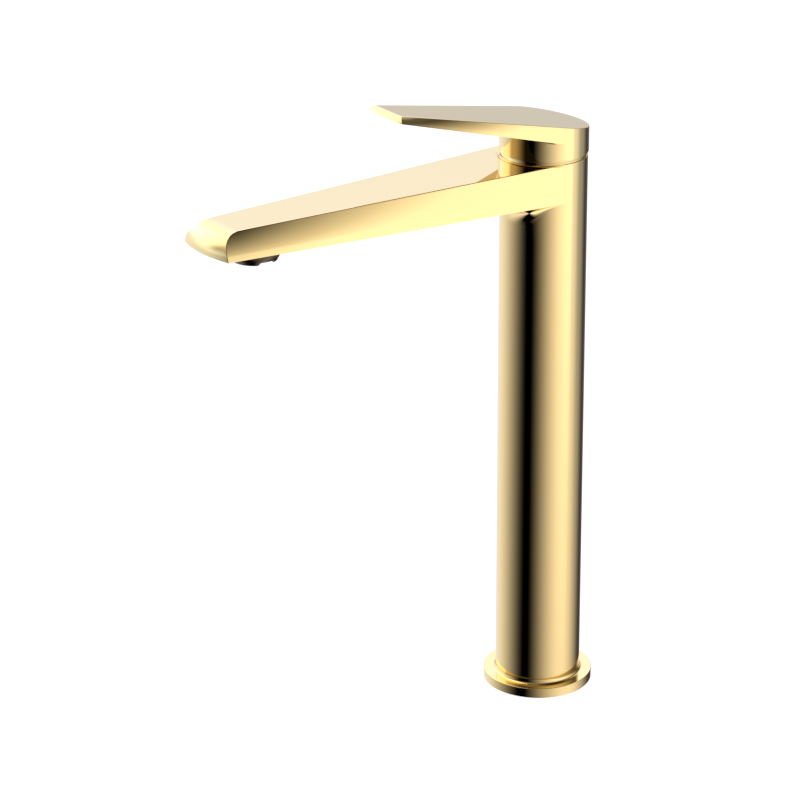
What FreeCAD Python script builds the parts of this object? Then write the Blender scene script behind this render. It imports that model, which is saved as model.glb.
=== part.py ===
"""Tall single-lever bathroom mixer faucet, as a FreeCAD parametric document.

Frame, in millimetres: the origin is the centre of the base on the deck, +Z runs up the column and
the spout points along -Y.  Hot water is on -X and cold water on +X.

The driving dimensions are the cells of the sheet Dims.  The sheet Derived works out every level and
radius that follows from them, and each piece is bound to the two sheets by expressions.
"""

import FreeCAD
import Part
import math
import os
import re

import Sketcher
from FreeCAD import Placement, Rotation, Vector

DRIVING = {
    # column and base
    "chamber_gap": 2.5,
    "column_wall": 3.0,
    "rim_wall": 2.5,
    "body_height": 301.8,
    "flange_width": 6.5,
    "flange_height": 5.5,
    "cove_height": 2.3,
    "cove_width": 1.1,
    "base_seal_height": 1.8,
    # spout
    "spout_reach": 211.0,
    "nose_length": 14.3,
    "nose_bow": 3.2,
    "spout_rise": 2.3,
    "spout_root_depth": 21.4,
    "spout_tip_depth": 12.2,
    "spout_tip_top_half": 12.0,
    "spout_tip_foot_half": 19.7,
    "spout_shoulder": 6.9,
    "spout_wall": 3.0,
    "web_radius": 14.0,
    # aerator
    "aerator_setback": 31.0,
    "aerator_radius": 11.95,
    "aerator_collar_radius": 13.0,
    "collar_taper": 1.5,
    "collar_height": 6.4,
    "notch_half": 4.6,
    "notch_depth": 1.8,
    "aerator_drop": 7.76,
    "aerator_height": 12.9,
    "aerator_wall": 2.2,
    # handle
    "hub_overhang": 0.4,
    "hub_gap": 2.0,
    "hub_height": 17.0,
    "hub_rim": 0.6,
    "relief_width": 1.6,
    "relief_depth": 0.6,
    "lever_reach": 101.6,
    "lever_nose_length": 5.2,
    "lever_nose_bow": 1.6,
    "lever_slope": 12.68,
    "lever_root_depth": 9.2,
    "lever_tip_depth": 2.4,
    "lever_tip_top_half": 11.3,
    "lever_tip_foot_half": 15.5,
    "lift_angle": 25.0,
    "boss_radius": 8.0,
    "plug_radius": 3.0,
    # cartridge, counted up from its seat or from the tilt pivot
    "cartridge_radius": 17.5,
    "shoulder_height": 4.0,
    "plinth_height": 9.0,
    "pivot_depth": 6.8,
    "pivot_height": 31.0,
    "housing_height": 30.2,
    "seat_thickness": 18.0,
    "disc_radius": 14.0,
    "disc_thickness": 3.4,
    "finger_length": 11.0,
    "stem_width": 8.0,
    "stem_height": 20.0,
    "neck_radius": 11.0,
    "nut_height": 5.4,
    "cap_thickness": 3.1,
    "seal_land": 4.4,
    "turret_skirt": 9.0,
    "dome_height": 9.8,
    "ceiling_height": 18.6,
    "screw_height": 14.0,
    "port_radius": 3.0,
    "port_half_pitch": 6.5,
    "port_front": 6.0,
    # water inlets
    "tube_radius": 5.0,
    "tube_half_pitch": 10.5,
    "tube_front": 3.0,
    "tube_grip": 8.0,
    "stud_radius": 4.0,
    "stud_depth": 16.0,
    "inlet_radius": 5.0,
    "inlet_depth": 10.0,
    "block_height": 26.0,
    # clearances and small sections
    "fit_gap": 0.1,
    "run_gap": 0.06,
    "ring_section": 0.9,
}

DERIVED = {
    "column_radius": "cartridge_radius + chamber_gap + column_wall",
    "flange_radius": "column_radius + flange_width",
    "hub_radius": "column_radius + hub_overhang",
    "bore_radius": "column_radius - column_wall",
    "nut_bore_radius": "column_radius - rim_wall",
    "pivot_z": "body_height - pivot_depth",
    "seat_z": "pivot_z - pivot_height",
    "housing_top": "seat_z + housing_height",
    "seat_underside": "seat_z - seat_thickness",
    "land_bottom": "housing_top - seal_land",
    "base_top": "seat_z + plinth_height",
    "fixed_disc_bottom": "base_top - 2",
    "moving_disc_bottom": "fixed_disc_bottom + disc_thickness + run_gap",
    "carrier_bottom": "moving_disc_bottom + disc_thickness",
    "flange_bottom": "pivot_z - turret_skirt",
    "flange_top": "housing_top - cap_thickness",
    "nut_bottom": "housing_top + fit_gap",
    "nut_top": "nut_bottom + nut_height",
    "corner_distance": "sqrt(column_radius * column_radius + pivot_depth * pivot_depth)",
    "hub_bottom": "body_height + hub_gap",
    "cavity_radius": "sqrt((hub_radius - hub_rim) * (hub_radius - hub_rim)"
    " + (pivot_depth + hub_gap) * (pivot_depth + hub_gap))",
    "ceiling_z": "pivot_z + ceiling_height",
    "dome_radius": "corner_distance - 0.5",
    "dome_top": "pivot_z + dome_height",
    "hub_top": "hub_bottom + hub_height",
    "screw_z": "pivot_z + screw_height",
    "finger_y_travel": "finger_length * sin(lift_angle)",
    "disc_offset": "finger_y_travel / 2",
    "tube_bottom": "block_height - tube_grip",
    "tube_top": "seat_underside + tube_grip + 1",
    "socket_radius": "tube_radius + fit_gap",
    "groove_radius": "tube_radius + 1.6 * ring_section",
    "spout_tip_top": "body_height + spout_rise",
    "spout_root_foot": "body_height - spout_root_depth",
    "spout_tip_foot": "spout_tip_top - spout_tip_depth",
    "spout_corner": "spout_reach - nose_bow",
    "aerator_bore": "aerator_radius + fit_gap",
    "aerator_reach": "spout_reach - aerator_setback",
    "aerator_bottom": "spout_root_foot + (spout_tip_foot - spout_root_foot) * aerator_reach"
    " / spout_corner - aerator_drop",
    "aerator_top": "aerator_bottom + aerator_height",
    "grille_radius": "aerator_radius - aerator_wall",
}

doc = FreeCAD.newDocument("BasinMixer")
dims = doc.addObject("Spreadsheet::Sheet", "Dims")
derived = doc.addObject("Spreadsheet::Sheet", "Derived")
pieces = []


def refer(text):
    """Put the owning sheet's name before every cell alias in an expression."""

    def owned(match):
        word = match.group(0)
        if word in DRIVING:
            return "Dims." + word
        if word in DERIVED:
            return "Derived." + word
        return word

    return re.sub(r"[a-z][a-z_0-9]*", owned, text)


def fill_sheets():
    """Write the driving numbers and the formulas that follow from them."""
    for row, (alias, number) in enumerate(DRIVING.items(), 1):
        dims.set(f"A{row}", alias)
        dims.set(f"B{row}", str(number))
        dims.setAlias(f"B{row}", alias)
    doc.recompute()
    for row, (alias, formula) in enumerate(DERIVED.items(), 1):
        derived.set(f"A{row}", alias)
        derived.set(f"B{row}", "=" + refer(formula).replace("Derived.", ""))
        derived.setAlias(f"B{row}", alias)
    doc.recompute()


def number_of(text):
    """The present value of an expression on the cells."""
    found = dims.evalExpression(refer(text))
    return float(getattr(found, "Value", found))


def bind(thing, **formulas):
    """Tie properties of an object to expressions; a double underscore stands for a dot."""
    for name, formula in formulas.items():
        thing.setExpression(name.replace("__", "."), refer(formula))


def piece(thing, label):
    """Keep an object as a sub-part under its own label."""
    thing.Label = label
    pieces.append(thing)
    return thing


# ---------------------------------------------------------------- Part primitives and booleans


def cylinder(name, radius, bottom, top, x="0", y="0"):
    """An upright cylinder between two levels."""
    solid = doc.addObject("Part::Cylinder", name)
    bind(solid, Radius=radius, Height=f"({top}) - ({bottom})")
    bind(solid, Placement__Base__x=x, Placement__Base__y=y, Placement__Base__z=bottom)
    return solid


def cross_cylinder(name, radius, length, along, x="0", y="0", z="0"):
    """A lying cylinder that starts at a point and runs along +X or +Y."""
    solid = doc.addObject("Part::Cylinder", name)
    turn = Rotation(Vector(0, 1, 0), 90) if along == "X" else Rotation(Vector(1, 0, 0), -90)
    solid.Placement = Placement(Vector(0, 0, 0), turn)
    bind(solid, Radius=radius, Height=length)
    bind(solid, Placement__Base__x=x, Placement__Base__y=y, Placement__Base__z=z)
    return solid


def box(name, low, high):
    """A block between two corners, each given as three expressions."""
    solid = doc.addObject("Part::Box", name)
    for side, axis, start, stop in zip(("Length", "Width", "Height"), "xyz", low, high):
        bind(solid, **{side: f"({stop}) - ({start})", "Placement__Base__" + axis: start})
    return solid


def sphere(name, radius, z):
    """A ball centred on the axis at a level."""
    solid = doc.addObject("Part::Sphere", name)
    bind(solid, Radius=radius, Placement__Base__z=z)
    return solid


def torus(name, ring, section, z, x="0", y="0"):
    """A round sealing ring that lies flat on a level."""
    solid = doc.addObject("Part::Torus", name)
    bind(solid, Radius1=ring, Radius2=section)
    bind(solid, Placement__Base__x=x, Placement__Base__y=y, Placement__Base__z=z)
    return solid


def fuse(name, *solids):
    """The union of several objects."""
    joined = doc.addObject("Part::MultiFuse", name)
    joined.Shapes = list(solids)
    joined.Refine = True
    return joined


def common(name, *solids):
    """What several objects share."""
    shared = doc.addObject("Part::MultiCommon", name)
    shared.Shapes = list(solids)
    return shared


def cut(name, base, *tools):
    """An object less one or more others."""
    left = doc.addObject("Part::Cut", name)
    left.Base = base
    left.Tool = tools[0] if len(tools) == 1 else fuse(name + "Tools", *tools)
    left.Refine = True
    return left


def group(name, *solids):
    """Separate like solids kept together as one compound."""
    held = doc.addObject("Part::Compound", name)
    held.Links = list(solids)
    return held


# ---------------------------------------------------------------- PartDesign bodies


def design_body(label):
    """A new PartDesign body that is a sub-part."""
    return piece(doc.addObject("PartDesign::Body", label.title().replace("_", "")), label)


def sketch_on(body, name, role, level="0"):
    """A sketch on one of the body's own origin planes, raised to a level."""
    sketch = body.newObject("Sketcher::SketchObject", name)
    plane = next(item for item in body.Origin.OriginFeatures if item.Role == role)
    sketch.AttachmentSupport = [(plane, "")]
    sketch.MapMode = "FlatFace"
    if level != "0":
        bind(sketch, AttachmentOffset__Base__z=level)
    return sketch


def pin_down(sketch, index, vertex, across, up):
    """Hold a sketch point at two expressions, or on an axis where one is zero."""
    for kind, axis, formula in (("DistanceX", -2, across), ("DistanceY", -1, up)):
        if formula == "0":
            sketch.addConstraint(Sketcher.Constraint("PointOnObject", index, vertex, axis))
            continue
        value = number_of(formula)
        place = sketch.addConstraint(Sketcher.Constraint(kind, -1, 1, index, vertex, value))
        sketch.setExpression(f"Constraints[{place}]", refer(formula))


def outline(sketch, corners):
    """Draw a closed polygon whose corners are pairs of expressions."""
    spots = [Vector(number_of(across), number_of(up), 0) for across, up in corners]
    first = sketch.GeometryCount
    count = len(corners)
    for step in range(count):
        sketch.addGeometry(Part.LineSegment(spots[step], spots[(step + 1) % count]), False)
    for step in range(count):
        following = first + (step + 1) % count
        sketch.addConstraint(Sketcher.Constraint("Coincident", first + step, 2, following, 1))
    for step, (across, up) in enumerate(corners):
        pin_down(sketch, first + step, 1, across, up)


def circle(sketch, radius, across="0", up="0"):
    """Draw a circle of a bound radius round a bound point."""
    middle = Vector(number_of(across), number_of(up), 0)
    index = sketch.addGeometry(Part.Circle(middle, Vector(0, 0, 1), number_of(radius)), False)
    place = sketch.addConstraint(Sketcher.Constraint("Radius", index, number_of(radius)))
    sketch.setExpression(f"Constraints[{place}]", refer(radius))
    if across == "0" and up == "0":
        sketch.addConstraint(Sketcher.Constraint("Coincident", index, 3, -1, 1))
    else:
        pin_down(sketch, index, 3, across, up)


def rectangle(sketch, half_x, half_y, x="0", y="0"):
    """Draw a rectangle round a point."""
    left, right = f"({x}) - ({half_x})", f"({x}) + ({half_x})"
    low, high = f"({y}) - ({half_y})", f"({y}) + ({half_y})"
    outline(sketch, [(left, low), (right, low), (right, high), (left, high)])


def turned(body, name, corners):
    """A solid of revolution about Z from a half section of (radius, level) corners."""
    sketch = sketch_on(body, name + "Section", "XZ_Plane")
    outline(sketch, corners)
    solid = body.newObject("PartDesign::Revolution", name)
    solid.Profile = sketch
    solid.ReferenceAxis = (sketch, ["V_Axis"])
    solid.Angle = 360
    return solid


def pad(body, name, level, height):
    """An upward pad; the caller draws on the sketch that is returned."""
    sketch = sketch_on(body, name + "Sketch", "XY_Plane", level)
    solid = body.newObject("PartDesign::Pad", name)
    solid.Profile = sketch
    bind(solid, Length=height)
    return sketch


def pocket(body, name, level, depth, upward=False):
    """A blind pocket from a level, downward unless told otherwise."""
    sketch = sketch_on(body, name + "Sketch", "XY_Plane", level)
    hollow = body.newObject("PartDesign::Pocket", name)
    hollow.Profile = sketch
    hollow.Reversed = upward
    bind(hollow, Length=depth)
    return sketch


def round_pattern(body, feature, count):
    """Repeat a feature about the body's Z axis."""
    pattern = body.newObject("PartDesign::PolarPattern", feature.Name + "Pattern")
    pattern.Originals = [feature]
    axis = next(item for item in body.Origin.OriginFeatures if item.Role == "Z_Axis")
    pattern.Axis = (axis, [""])
    pattern.Angle = 360
    pattern.Occurrences = count
    body.Tip = pattern
    return pattern


# ---------------------------------------------------------------- lofted forms of spout and lever

QUARTER_ARC = 0.5523
LEVER_CURL = 0.35
TRIM_TOLERANCE = 1e-4
FLANK_SINK = 0.03
WEB_SINK = 0.05
BEYOND = 60.0


def tapered_bar(far_y, near, far):
    """Ruled bar along -Y between two sections with curved flanks.

    Each section is (top half width, foot half width, top level, foot level, shoulder), where the
    flank is a curve from the top edge to the foot edge that is upright at the foot.
    """

    def section(y, size):
        top_half, foot_half, top, foot, shoulder = size
        flank = Part.BezierCurve()
        flank.setPoles([Vector(top_half, y, top), Vector(foot_half, y, top - shoulder),
                        Vector(foot_half, y, foot)])
        mirrored = Part.BezierCurve()
        mirrored.setPoles([Vector(-pole.x, pole.y, pole.z) for pole in reversed(flank.getPoles())])
        foot_line = Part.LineSegment(Vector(foot_half, y, foot), Vector(-foot_half, y, foot))
        top_line = Part.LineSegment(Vector(-top_half, y, top), Vector(top_half, y, top))
        return Part.Wire([flank.toShape(), foot_line.toShape(), mirrored.toShape(),
                          top_line.toShape()])

    return Part.makeLoft([section(0.0, near), section(-far_y, far)], True, True)


def nose_block(fold, length, bow, half_width, top, foot, curl, slope=0.0):
    """Block whose front rolls from a straight fold down to a bowed lower edge.

    The front curve starts level with the sloping top face and ends upright at the foot level.
    """
    rise = math.tan(math.radians(slope))
    high = top + 4.0
    low = foot - BEYOND
    back = BEYOND
    wires = []
    for share in (-1.6, -0.8, 0.0, 0.8, 1.6):
        x = share * half_width
        reach = length - bow * share * share
        front = Part.BezierCurve()
        front.setPoles([
            Vector(x, -fold, top),
            Vector(x, -fold - curl * reach, top + rise * curl * reach),
            Vector(x, -fold - reach, foot + curl * (top - foot)),
            Vector(x, -fold - reach, foot),
        ])
        corners = [Vector(x, -fold - reach, foot), Vector(x, -fold - reach, low),
                   Vector(x, back, low), Vector(x, back, high),
                   Vector(x, -fold + (high - top), high), Vector(x, -fold, top)]
        edges = [front.toShape()]
        edges += [Part.LineSegment(a, b).toShape() for a, b in zip(corners, corners[1:])]
        wires.append(Part.Wire(edges))
    return Part.makeLoft(wires, True, False)


def shaped(name, shape):
    """A Part::Feature that holds a shape made with Part's own functions."""
    thing = doc.addObject("Part::Feature", name)
    thing.Shape = shape
    return thing


# ---------------------------------------------------------------- body casting


def spout_underside(reach):
    """Level of the spout's underside at a distance in front of the column axis."""
    root, tip = number_of("spout_root_foot"), number_of("spout_tip_foot")
    return root + (tip - root) * reach / number_of("spout_corner")


def spout_form(inset=0.0):
    """The spout as a tapered bar, or its cored space when inset by the wall."""
    reach = number_of("spout_reach") + 1.0
    fold = number_of("spout_reach - nose_length")
    corner = number_of("spout_corner")
    column = number_of("column_radius") - FLANK_SINK
    top_half = column + (number_of("spout_tip_top_half") - column) * reach / fold
    foot_half = column + (number_of("spout_tip_foot_half") - column) * reach / corner
    root_top = number_of("body_height")
    far_top = root_top + number_of("spout_rise") * reach / fold
    share = number_of("spout_shoulder / spout_tip_depth")
    root_foot = spout_underside(0.0)
    far_foot = spout_underside(reach)
    near = (column - inset, column - inset, root_top - inset, root_foot + inset,
            share * (root_top - root_foot - 2 * inset))
    far = (top_half - inset, foot_half - inset, far_top - inset, far_foot + inset,
           share * (far_top - far_foot - 2 * inset))
    return tapered_bar(reach, near, far)


def spout_nose():
    """The block whose front face trims the spout to its rounded nose."""
    fold = number_of("spout_reach - nose_length")
    return nose_block(fold, number_of("nose_length"), number_of("nose_bow"),
                      number_of("spout_tip_foot_half"), number_of("spout_tip_top"),
                      number_of("spout_tip_foot"), QUARTER_ARC)


def cored_space():
    """Hollow of the spout, from in front of the column to just past the aerator."""
    hollow = spout_form(number_of("spout_wall"))
    start = number_of("column_radius") + 3.0
    stop = number_of("aerator_reach + aerator_bore - 3")
    window = Part.makeBox(100, stop - start, 400, Vector(-50, -stop, 0))
    return hollow.common(window)


def channel():
    """Short passage through the column wall, from the cartridge chamber into the cored spout."""
    wall = number_of("spout_wall")
    near_y = number_of("bore_radius") - 4.0
    far_y = number_of("column_radius") + 6.0
    low = spout_underside(far_y) + wall
    high = number_of("land_bottom")
    half = 9.0
    return Part.makeBox(2 * half, far_y - near_y, high - low, Vector(-half, -far_y, low))


def web():
    """Concave blend from the column into the spout's underside, which dies out at the flanks."""
    column = number_of("column_radius")
    full = number_of("web_radius")
    flank = column - FLANK_SINK
    taper = (flank - number_of("spout_tip_foot_half")) / number_of("spout_corner")
    wires = []
    for degrees in range(-64, 65, 8):
        angle = math.radians(degrees)
        room = flank / (abs(math.sin(angle)) + taper * math.cos(angle)) - column
        size = (full ** -4 + room ** -4) ** -0.25
        top = spout_underside((column + size) * math.cos(angle)) + WEB_SINK
        low = top - size
        near = column - WEB_SINK
        far = column + size
        corners = [(far, top), (far, top + 1), (column - 1, top + 1), (column - 1, low), (near, low)]
        spots = [Vector(r * math.sin(angle), -r * math.cos(angle), z) for r, z in corners]
        curve = Part.BezierCurve()
        curve.setPoles([spots[-1]]
                       + [Vector(r * math.sin(angle), -r * math.cos(angle), z) for r, z in
                          ((near, low + QUARTER_ARC * size), (far - QUARTER_ARC * size, top))]
                       + [spots[0]])
        edges = [Part.LineSegment(a, b).toShape() for a, b in zip(spots, spots[1:])]
        wires.append(Part.Wire(edges + [curve.toShape()]))
    return Part.makeLoft(wires, True, False)


def make_body():
    """Column, spout and cartridge seat in one casting."""
    bar = spout_form()
    spout = bar.common(spout_nose(), TRIM_TOLERANCE)
    relief = Part.makeCylinder(number_of("hub_radius + relief_width"), 10,
                               Vector(0, 0, number_of("body_height - relief_depth")))
    spout = spout.cut(relief)
    column = Part.makeCylinder(number_of("column_radius"), number_of("body_height"))
    outer = shaped("BodyOutside", column.fuse([spout, web()]).removeSplitter())
    spaces = [
        cylinder("ColumnBore", "bore_radius", "-1", "seat_underside"),
        cylinder("Chamber", "bore_radius", "seat_z", "land_bottom"),
        cylinder("SealLand", "cartridge_radius + fit_gap", "land_bottom - 1", "housing_top"),
        cylinder("NutBore", "nut_bore_radius", "housing_top", "body_height + 1"),
        cylinder("AeratorBore", "aerator_bore", "aerator_bottom - 5", "aerator_top + 1.5",
                 "0", "-aerator_reach"),
        shaped("CoredSpout", cored_space()),
        shaped("Channel", channel()),
    ]
    for side, sign in (("Hot", "-"), ("Cold", "")):
        tube_x = sign + "tube_half_pitch"
        tube_y = "-tube_front"
        spaces += [
            cylinder(side + "Socket", "socket_radius", "seat_underside - 1", "tube_top + fit_gap",
                     tube_x, tube_y),
            cylinder(side + "Groove", "groove_radius", "seat_underside + 3",
                     "seat_underside + 3 + 2.2 * ring_section", tube_x, tube_y),
            cylinder(side + "Port", "port_radius", "tube_top - 1", "seat_z + 1",
                     sign + "port_half_pitch", "-port_front"),
            cylinder(side + "PegHole", "2 + fit_gap", "seat_z - 4", "seat_z + 1", sign + "9", "8"),
        ]
    spaces.append(cross_cylinder("GrubHoles", "2 + fit_gap", "2 * column_radius + 2", "Y",
                                 "0", "-column_radius - 1", "flange_height / 2 + 1"))
    piece(cut("Body", outer, *spaces), "body")


# ---------------------------------------------------------------- base


def make_base():
    """Flange, its sealing rings and the inlet block in the foot of the column."""
    flange = design_body("base_flange")
    inner = "column_radius + fit_gap"
    turned(flange, "FlangeRing", [
        (inner, "0"), ("flange_radius", "0"), ("flange_radius", "flange_height"),
        (inner + " + cove_width", "flange_height"),
        (inner + " + cove_width * 0.35", "flange_height + cove_height * 0.35"),
        (inner, "flange_height + cove_height"),
    ])
    seal_in, seal_out = "flange_radius - 4.5", "flange_radius - 1.5"
    groove = pocket(flange, "SealGroove", "0", "base_seal_height", True)
    circle(groove, seal_out)
    circle(groove, seal_in)
    groove = pocket(flange, "RingGroove", "flange_height / 2 - 1", "2", True)
    circle(groove, inner + " + 2.1 * ring_section")
    seal = design_body("base_seal")
    flat = pad(seal, "SealRing", "0", "base_seal_height")
    circle(flat, seal_out)
    circle(flat, seal_in)
    piece(torus("FlangeORing", inner + " + ring_section", "ring_section", "flange_height / 2"),
          "flange_o_ring")

    block = design_body("inlet_block")
    circle(pad(block, "BlockPad", "0", "block_height"), "bore_radius - fit_gap")
    circle(pocket(block, "StudHole", "0", "stud_depth", True), "stud_radius")
    pairs = [
        ("Inlets", "0", "inlet_depth", "inlet_radius"),
        ("Ways", "inlet_depth", "tube_bottom - inlet_depth", "port_radius"),
        ("Sockets", "tube_bottom", "tube_grip", "socket_radius"),
        ("Grooves", "block_height - 5", "2.2 * ring_section", "groove_radius"),
    ]
    for name, level, depth, radius in pairs:
        both = pocket(block, name, level, depth, True)
        circle(both, radius, "-tube_half_pitch", "-tube_front")
        circle(both, radius, "tube_half_pitch", "-tube_front")
    pits = sketch_on(block, "GrubPits", "XZ_Plane")
    circle(pits, "2 + fit_gap", "0", "flange_height / 2 + 1")
    through = block.newObject("PartDesign::Pocket", "GrubThrough")
    through.Profile = pits
    through.Type = "ThroughAll"
    through.Midplane = True

    screws = []
    for side, start in (("Front", "-column_radius + 0.2"), ("Back", "stud_radius + 3")):
        shank = cross_cylinder("Grub" + side, "2", "column_radius - stud_radius - 3.2", "Y",
                               "0", start, "flange_height / 2 + 1")
        screws.append(shank)
    piece(group("BlockGrubScrews", *screws), "block_grub_screws")

    rings = {"lower_tube_o_rings": "block_height - 5 + 1.1 * ring_section",
             "upper_tube_o_rings": "seat_underside + 3 + 1.1 * ring_section"}
    for label, level in rings.items():
        pair = [torus(label.title().replace("_", "") + side, "groove_radius - 0.75 * ring_section",
                      "ring_section * 0.65", level, sign + "tube_half_pitch", "-tube_front")
                for side, sign in (("Hot", "-"), ("Cold", ""))]
        piece(group(label.title().replace("_", ""), *pair), label)
    for side, sign in (("hot", "-"), ("cold", "")):
        tube = design_body(side + "_inlet_tube")
        wall = pad(tube, side.title() + "Tube", "tube_bottom + fit_gap",
                   "tube_top - tube_bottom - fit_gap")
        circle(wall, "tube_radius")
        circle(wall, "tube_radius - 1")
        bind(tube, Placement__Base__x=sign + "tube_half_pitch", Placement__Base__y="-tube_front")


# ---------------------------------------------------------------- cartridge


def make_cartridge_fixed():
    """Base, housing, fixed disc and seals: what stays still in the cartridge."""
    base = design_body("cartridge_base")
    lip = "cartridge_radius - fit_gap"
    spigot = "disc_radius + 1.4"
    turned(base, "BaseTurned", [
        ("0", "seat_z"), (lip, "seat_z"), (lip, "seat_z + shoulder_height"),
        (spigot, "seat_z + shoulder_height"), (spigot, "base_top"),
        ("disc_radius + fit_gap", "base_top"),
        ("disc_radius + fit_gap", "fixed_disc_bottom"), ("0", "fixed_disc_bottom"),
    ])
    pegs = pad(base, "Pegs", "seat_z - 3", "4")
    circle(pegs, "2", "-9", "8")
    circle(pegs, "2", "9", "8")
    hollows = [
        ("PortHoles", "seat_z", "plinth_height", "port_radius"),
        ("LowerSeats", "seat_z", "1.4", "port_radius + 1.8"),
        ("UpperSeats", "fixed_disc_bottom - 1.2", "3", "port_radius + 1.6"),
    ]
    for name, level, depth, radius in hollows:
        both = pocket(base, name, level, depth, True)
        circle(both, radius, "-port_half_pitch", "-port_front")
        circle(both, radius, "port_half_pitch", "-port_front")
    well = pocket(base, "OutletWell", "seat_z + 1.6", "plinth_height", True)
    circle(well, "port_radius + 0.5", "0", "5")
    window = pocket(base, "OutletWindow", "seat_z + 1.6", "3.4", True)
    rectangle(window, "port_radius", "cartridge_radius / 2", "0", "5 + cartridge_radius / 2")

    seals = [("base_seals", "seat_z", "1.4", "1.7"), ("disc_seals", "fixed_disc_bottom - 1.2",
                                                       "1.2", "1.5")]
    for label, level, height, width in seals:
        made = []
        for side, sign in (("Hot", "-"), ("Cold", "")):
            name = label.title().replace("_", "") + side
            spot = (sign + "port_half_pitch", "-port_front")
            top = f"{level} + {height}"
            rim = cylinder(name + "Rim", "port_radius + " + width, level, top, *spot)
            hole = cylinder(name + "Hole", "port_radius", level + " - 1", top + " + 1", *spot)
            made.append(cut(name, rim, hole))
        piece(group(label.title().replace("_", ""), *made), label)

    fixed = design_body("fixed_disc")
    circle(pad(fixed, "FixedPad", "fixed_disc_bottom", "disc_thickness"), "disc_radius")
    ports = pocket(fixed, "FixedPorts", "fixed_disc_bottom", "disc_thickness + 1", True)
    circle(ports, "port_radius", "-port_half_pitch", "-port_front")
    circle(ports, "port_radius", "port_half_pitch", "-port_front")
    circle(ports, "port_radius + 0.5", "0", "5")

    housing = design_body("cartridge_housing")
    inner = spigot + " + fit_gap"
    guide = "disc_radius + 0.3"
    turned(housing, "HousingTurned", [
        (inner, "seat_z + shoulder_height"),
        ("cartridge_radius - fit_gap", "seat_z + shoulder_height"),
        ("cartridge_radius - fit_gap", "housing_top"), ("neck_radius + run_gap", "housing_top"),
        ("neck_radius + run_gap", "flange_top + run_gap"), (guide, "flange_top + run_gap"),
        (guide, "flange_bottom - 5"), (inner, "flange_bottom - 5.5"),
    ])
    groove = pocket(housing, "RingSeat", "housing_top - 2.6", "2.2", True)
    circle(groove, "cartridge_radius + 1")
    circle(groove, "cartridge_radius - 1.8 * ring_section")
    piece(torus("HousingORing", "cartridge_radius - 0.85 * ring_section", "ring_section * 0.85",
                "housing_top - 1.5"), "housing_o_ring")

    nut = design_body("cartridge_locknut")
    turned(nut, "NutRing", [
        ("neck_radius + 1.6", "nut_bottom"), ("nut_bore_radius - fit_gap", "nut_bottom"),
        ("nut_bore_radius - fit_gap", "nut_top"), ("neck_radius + 1.6", "nut_top"),
    ])
    slot = pocket(nut, "SpannerSlot", "nut_top - 2", "3", True)
    rectangle(slot, "1.6", "2", "0", "nut_bore_radius - 2.4")
    round_pattern(nut, doc.getObject("SpannerSlot"), 6)

    skirt = cylinder("DomeSkirt", "nut_bore_radius - fit_gap", "nut_top + fit_gap", "body_height")
    crown = cylinder("DomeCrown", "dome_radius", "body_height", "dome_top")
    ball = sphere("DomeBall", "dome_radius", "pivot_z")
    opening = cylinder("DomeOpening", "neck_radius + 5", "nut_top - 1", "dome_top + 1")
    piece(cut("DomeRing", fuse("DomeSolid", skirt, common("DomeBand", crown, ball)), opening),
          "dome_ring")


def make_cartridge_moving():
    """Turret, stem, carrier and moving disc."""
    turret = design_body("cartridge_turret")
    turned(turret, "TurretTurned", [
        ("0", "flange_bottom"), ("disc_radius - 1", "flange_bottom"),
        ("disc_radius - 1", "flange_bottom - 5.4"), ("disc_radius", "flange_bottom - 5.4"),
        ("disc_radius", "flange_top"), ("neck_radius", "flange_top"),
        ("neck_radius", "pivot_z + 3.5"), ("0", "pivot_z + 3.5"),
    ])
    slot = pocket(turret, "StemSlot", "flange_bottom - 1", "20", True)
    rectangle(slot, "stem_width / 2 + 0.2", "finger_y_travel + 2.95")
    bore = sketch_on(turret, "PinBoreSketch", "YZ_Plane")
    circle(bore, "1.5 + fit_gap / 2", "0", "pivot_z")
    cross = turret.newObject("PartDesign::Pocket", "PinBore")
    cross.Profile = bore
    cross.Type = "ThroughAll"
    cross.Midplane = True
    piece(cross_cylinder("StemPin", "1.5", "2 * neck_radius - 1", "X", "-neck_radius + 0.5", "0",
                         "pivot_z"), "stem_pin")

    half = "stem_width / 2"
    shank = box("StemShank", ("-" + half, "-" + half, "pivot_z"),
                (half, half, "pivot_z + stem_height"))
    hub = cross_cylinder("StemHub", "5", "stem_width", "X", "-" + half, "0", "pivot_z")
    finger = cylinder("StemFinger", "2.2", "pivot_z - finger_length", "pivot_z")
    tip = sphere("StemTip", "2.6", "pivot_z - finger_length")
    pin_hole = cross_cylinder("StemPinHole", "1.5 + run_gap", "stem_width + 2", "X",
                              "-" + half + " - 1", "0", "pivot_z")
    piece(cut("Stem", fuse("StemSolid", shank, hub, finger, tip), pin_hole), "cartridge_stem")

    carrier = design_body("disc_carrier")
    slab = pad(carrier, "CarrierPad", "carrier_bottom", "flange_bottom - 0.3 - carrier_bottom")
    rectangle(slab, "stem_width", "7", "0", "disc_offset")
    pegs = pad(carrier, "CarrierPegs", "carrier_bottom - 1.6", "2")
    circle(pegs, "1.5", "-6", "disc_offset")
    circle(pegs, "1.5", "6", "disc_offset")
    seat = pocket(carrier, "TipSeat", "pivot_z - finger_length - 3.2", "10", True)
    rectangle(seat, "2.75", "2.75")

    moving = design_body("moving_disc")
    circle(pad(moving, "MovingPad", "moving_disc_bottom", "disc_thickness"), "disc_radius - 2",
           "0", "disc_offset")
    sockets = pocket(moving, "PegSockets", "carrier_bottom - 1.7", "3", True)
    circle(sockets, "1.5 + fit_gap / 2", "-6", "disc_offset")
    circle(sockets, "1.5 + fit_gap / 2", "6", "disc_offset")
    recess = pocket(moving, "MixingRecess", "moving_disc_bottom - 1", "2.2", True)
    rectangle(recess, "port_half_pitch + 2", "4.8", "0", "3.6")


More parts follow.
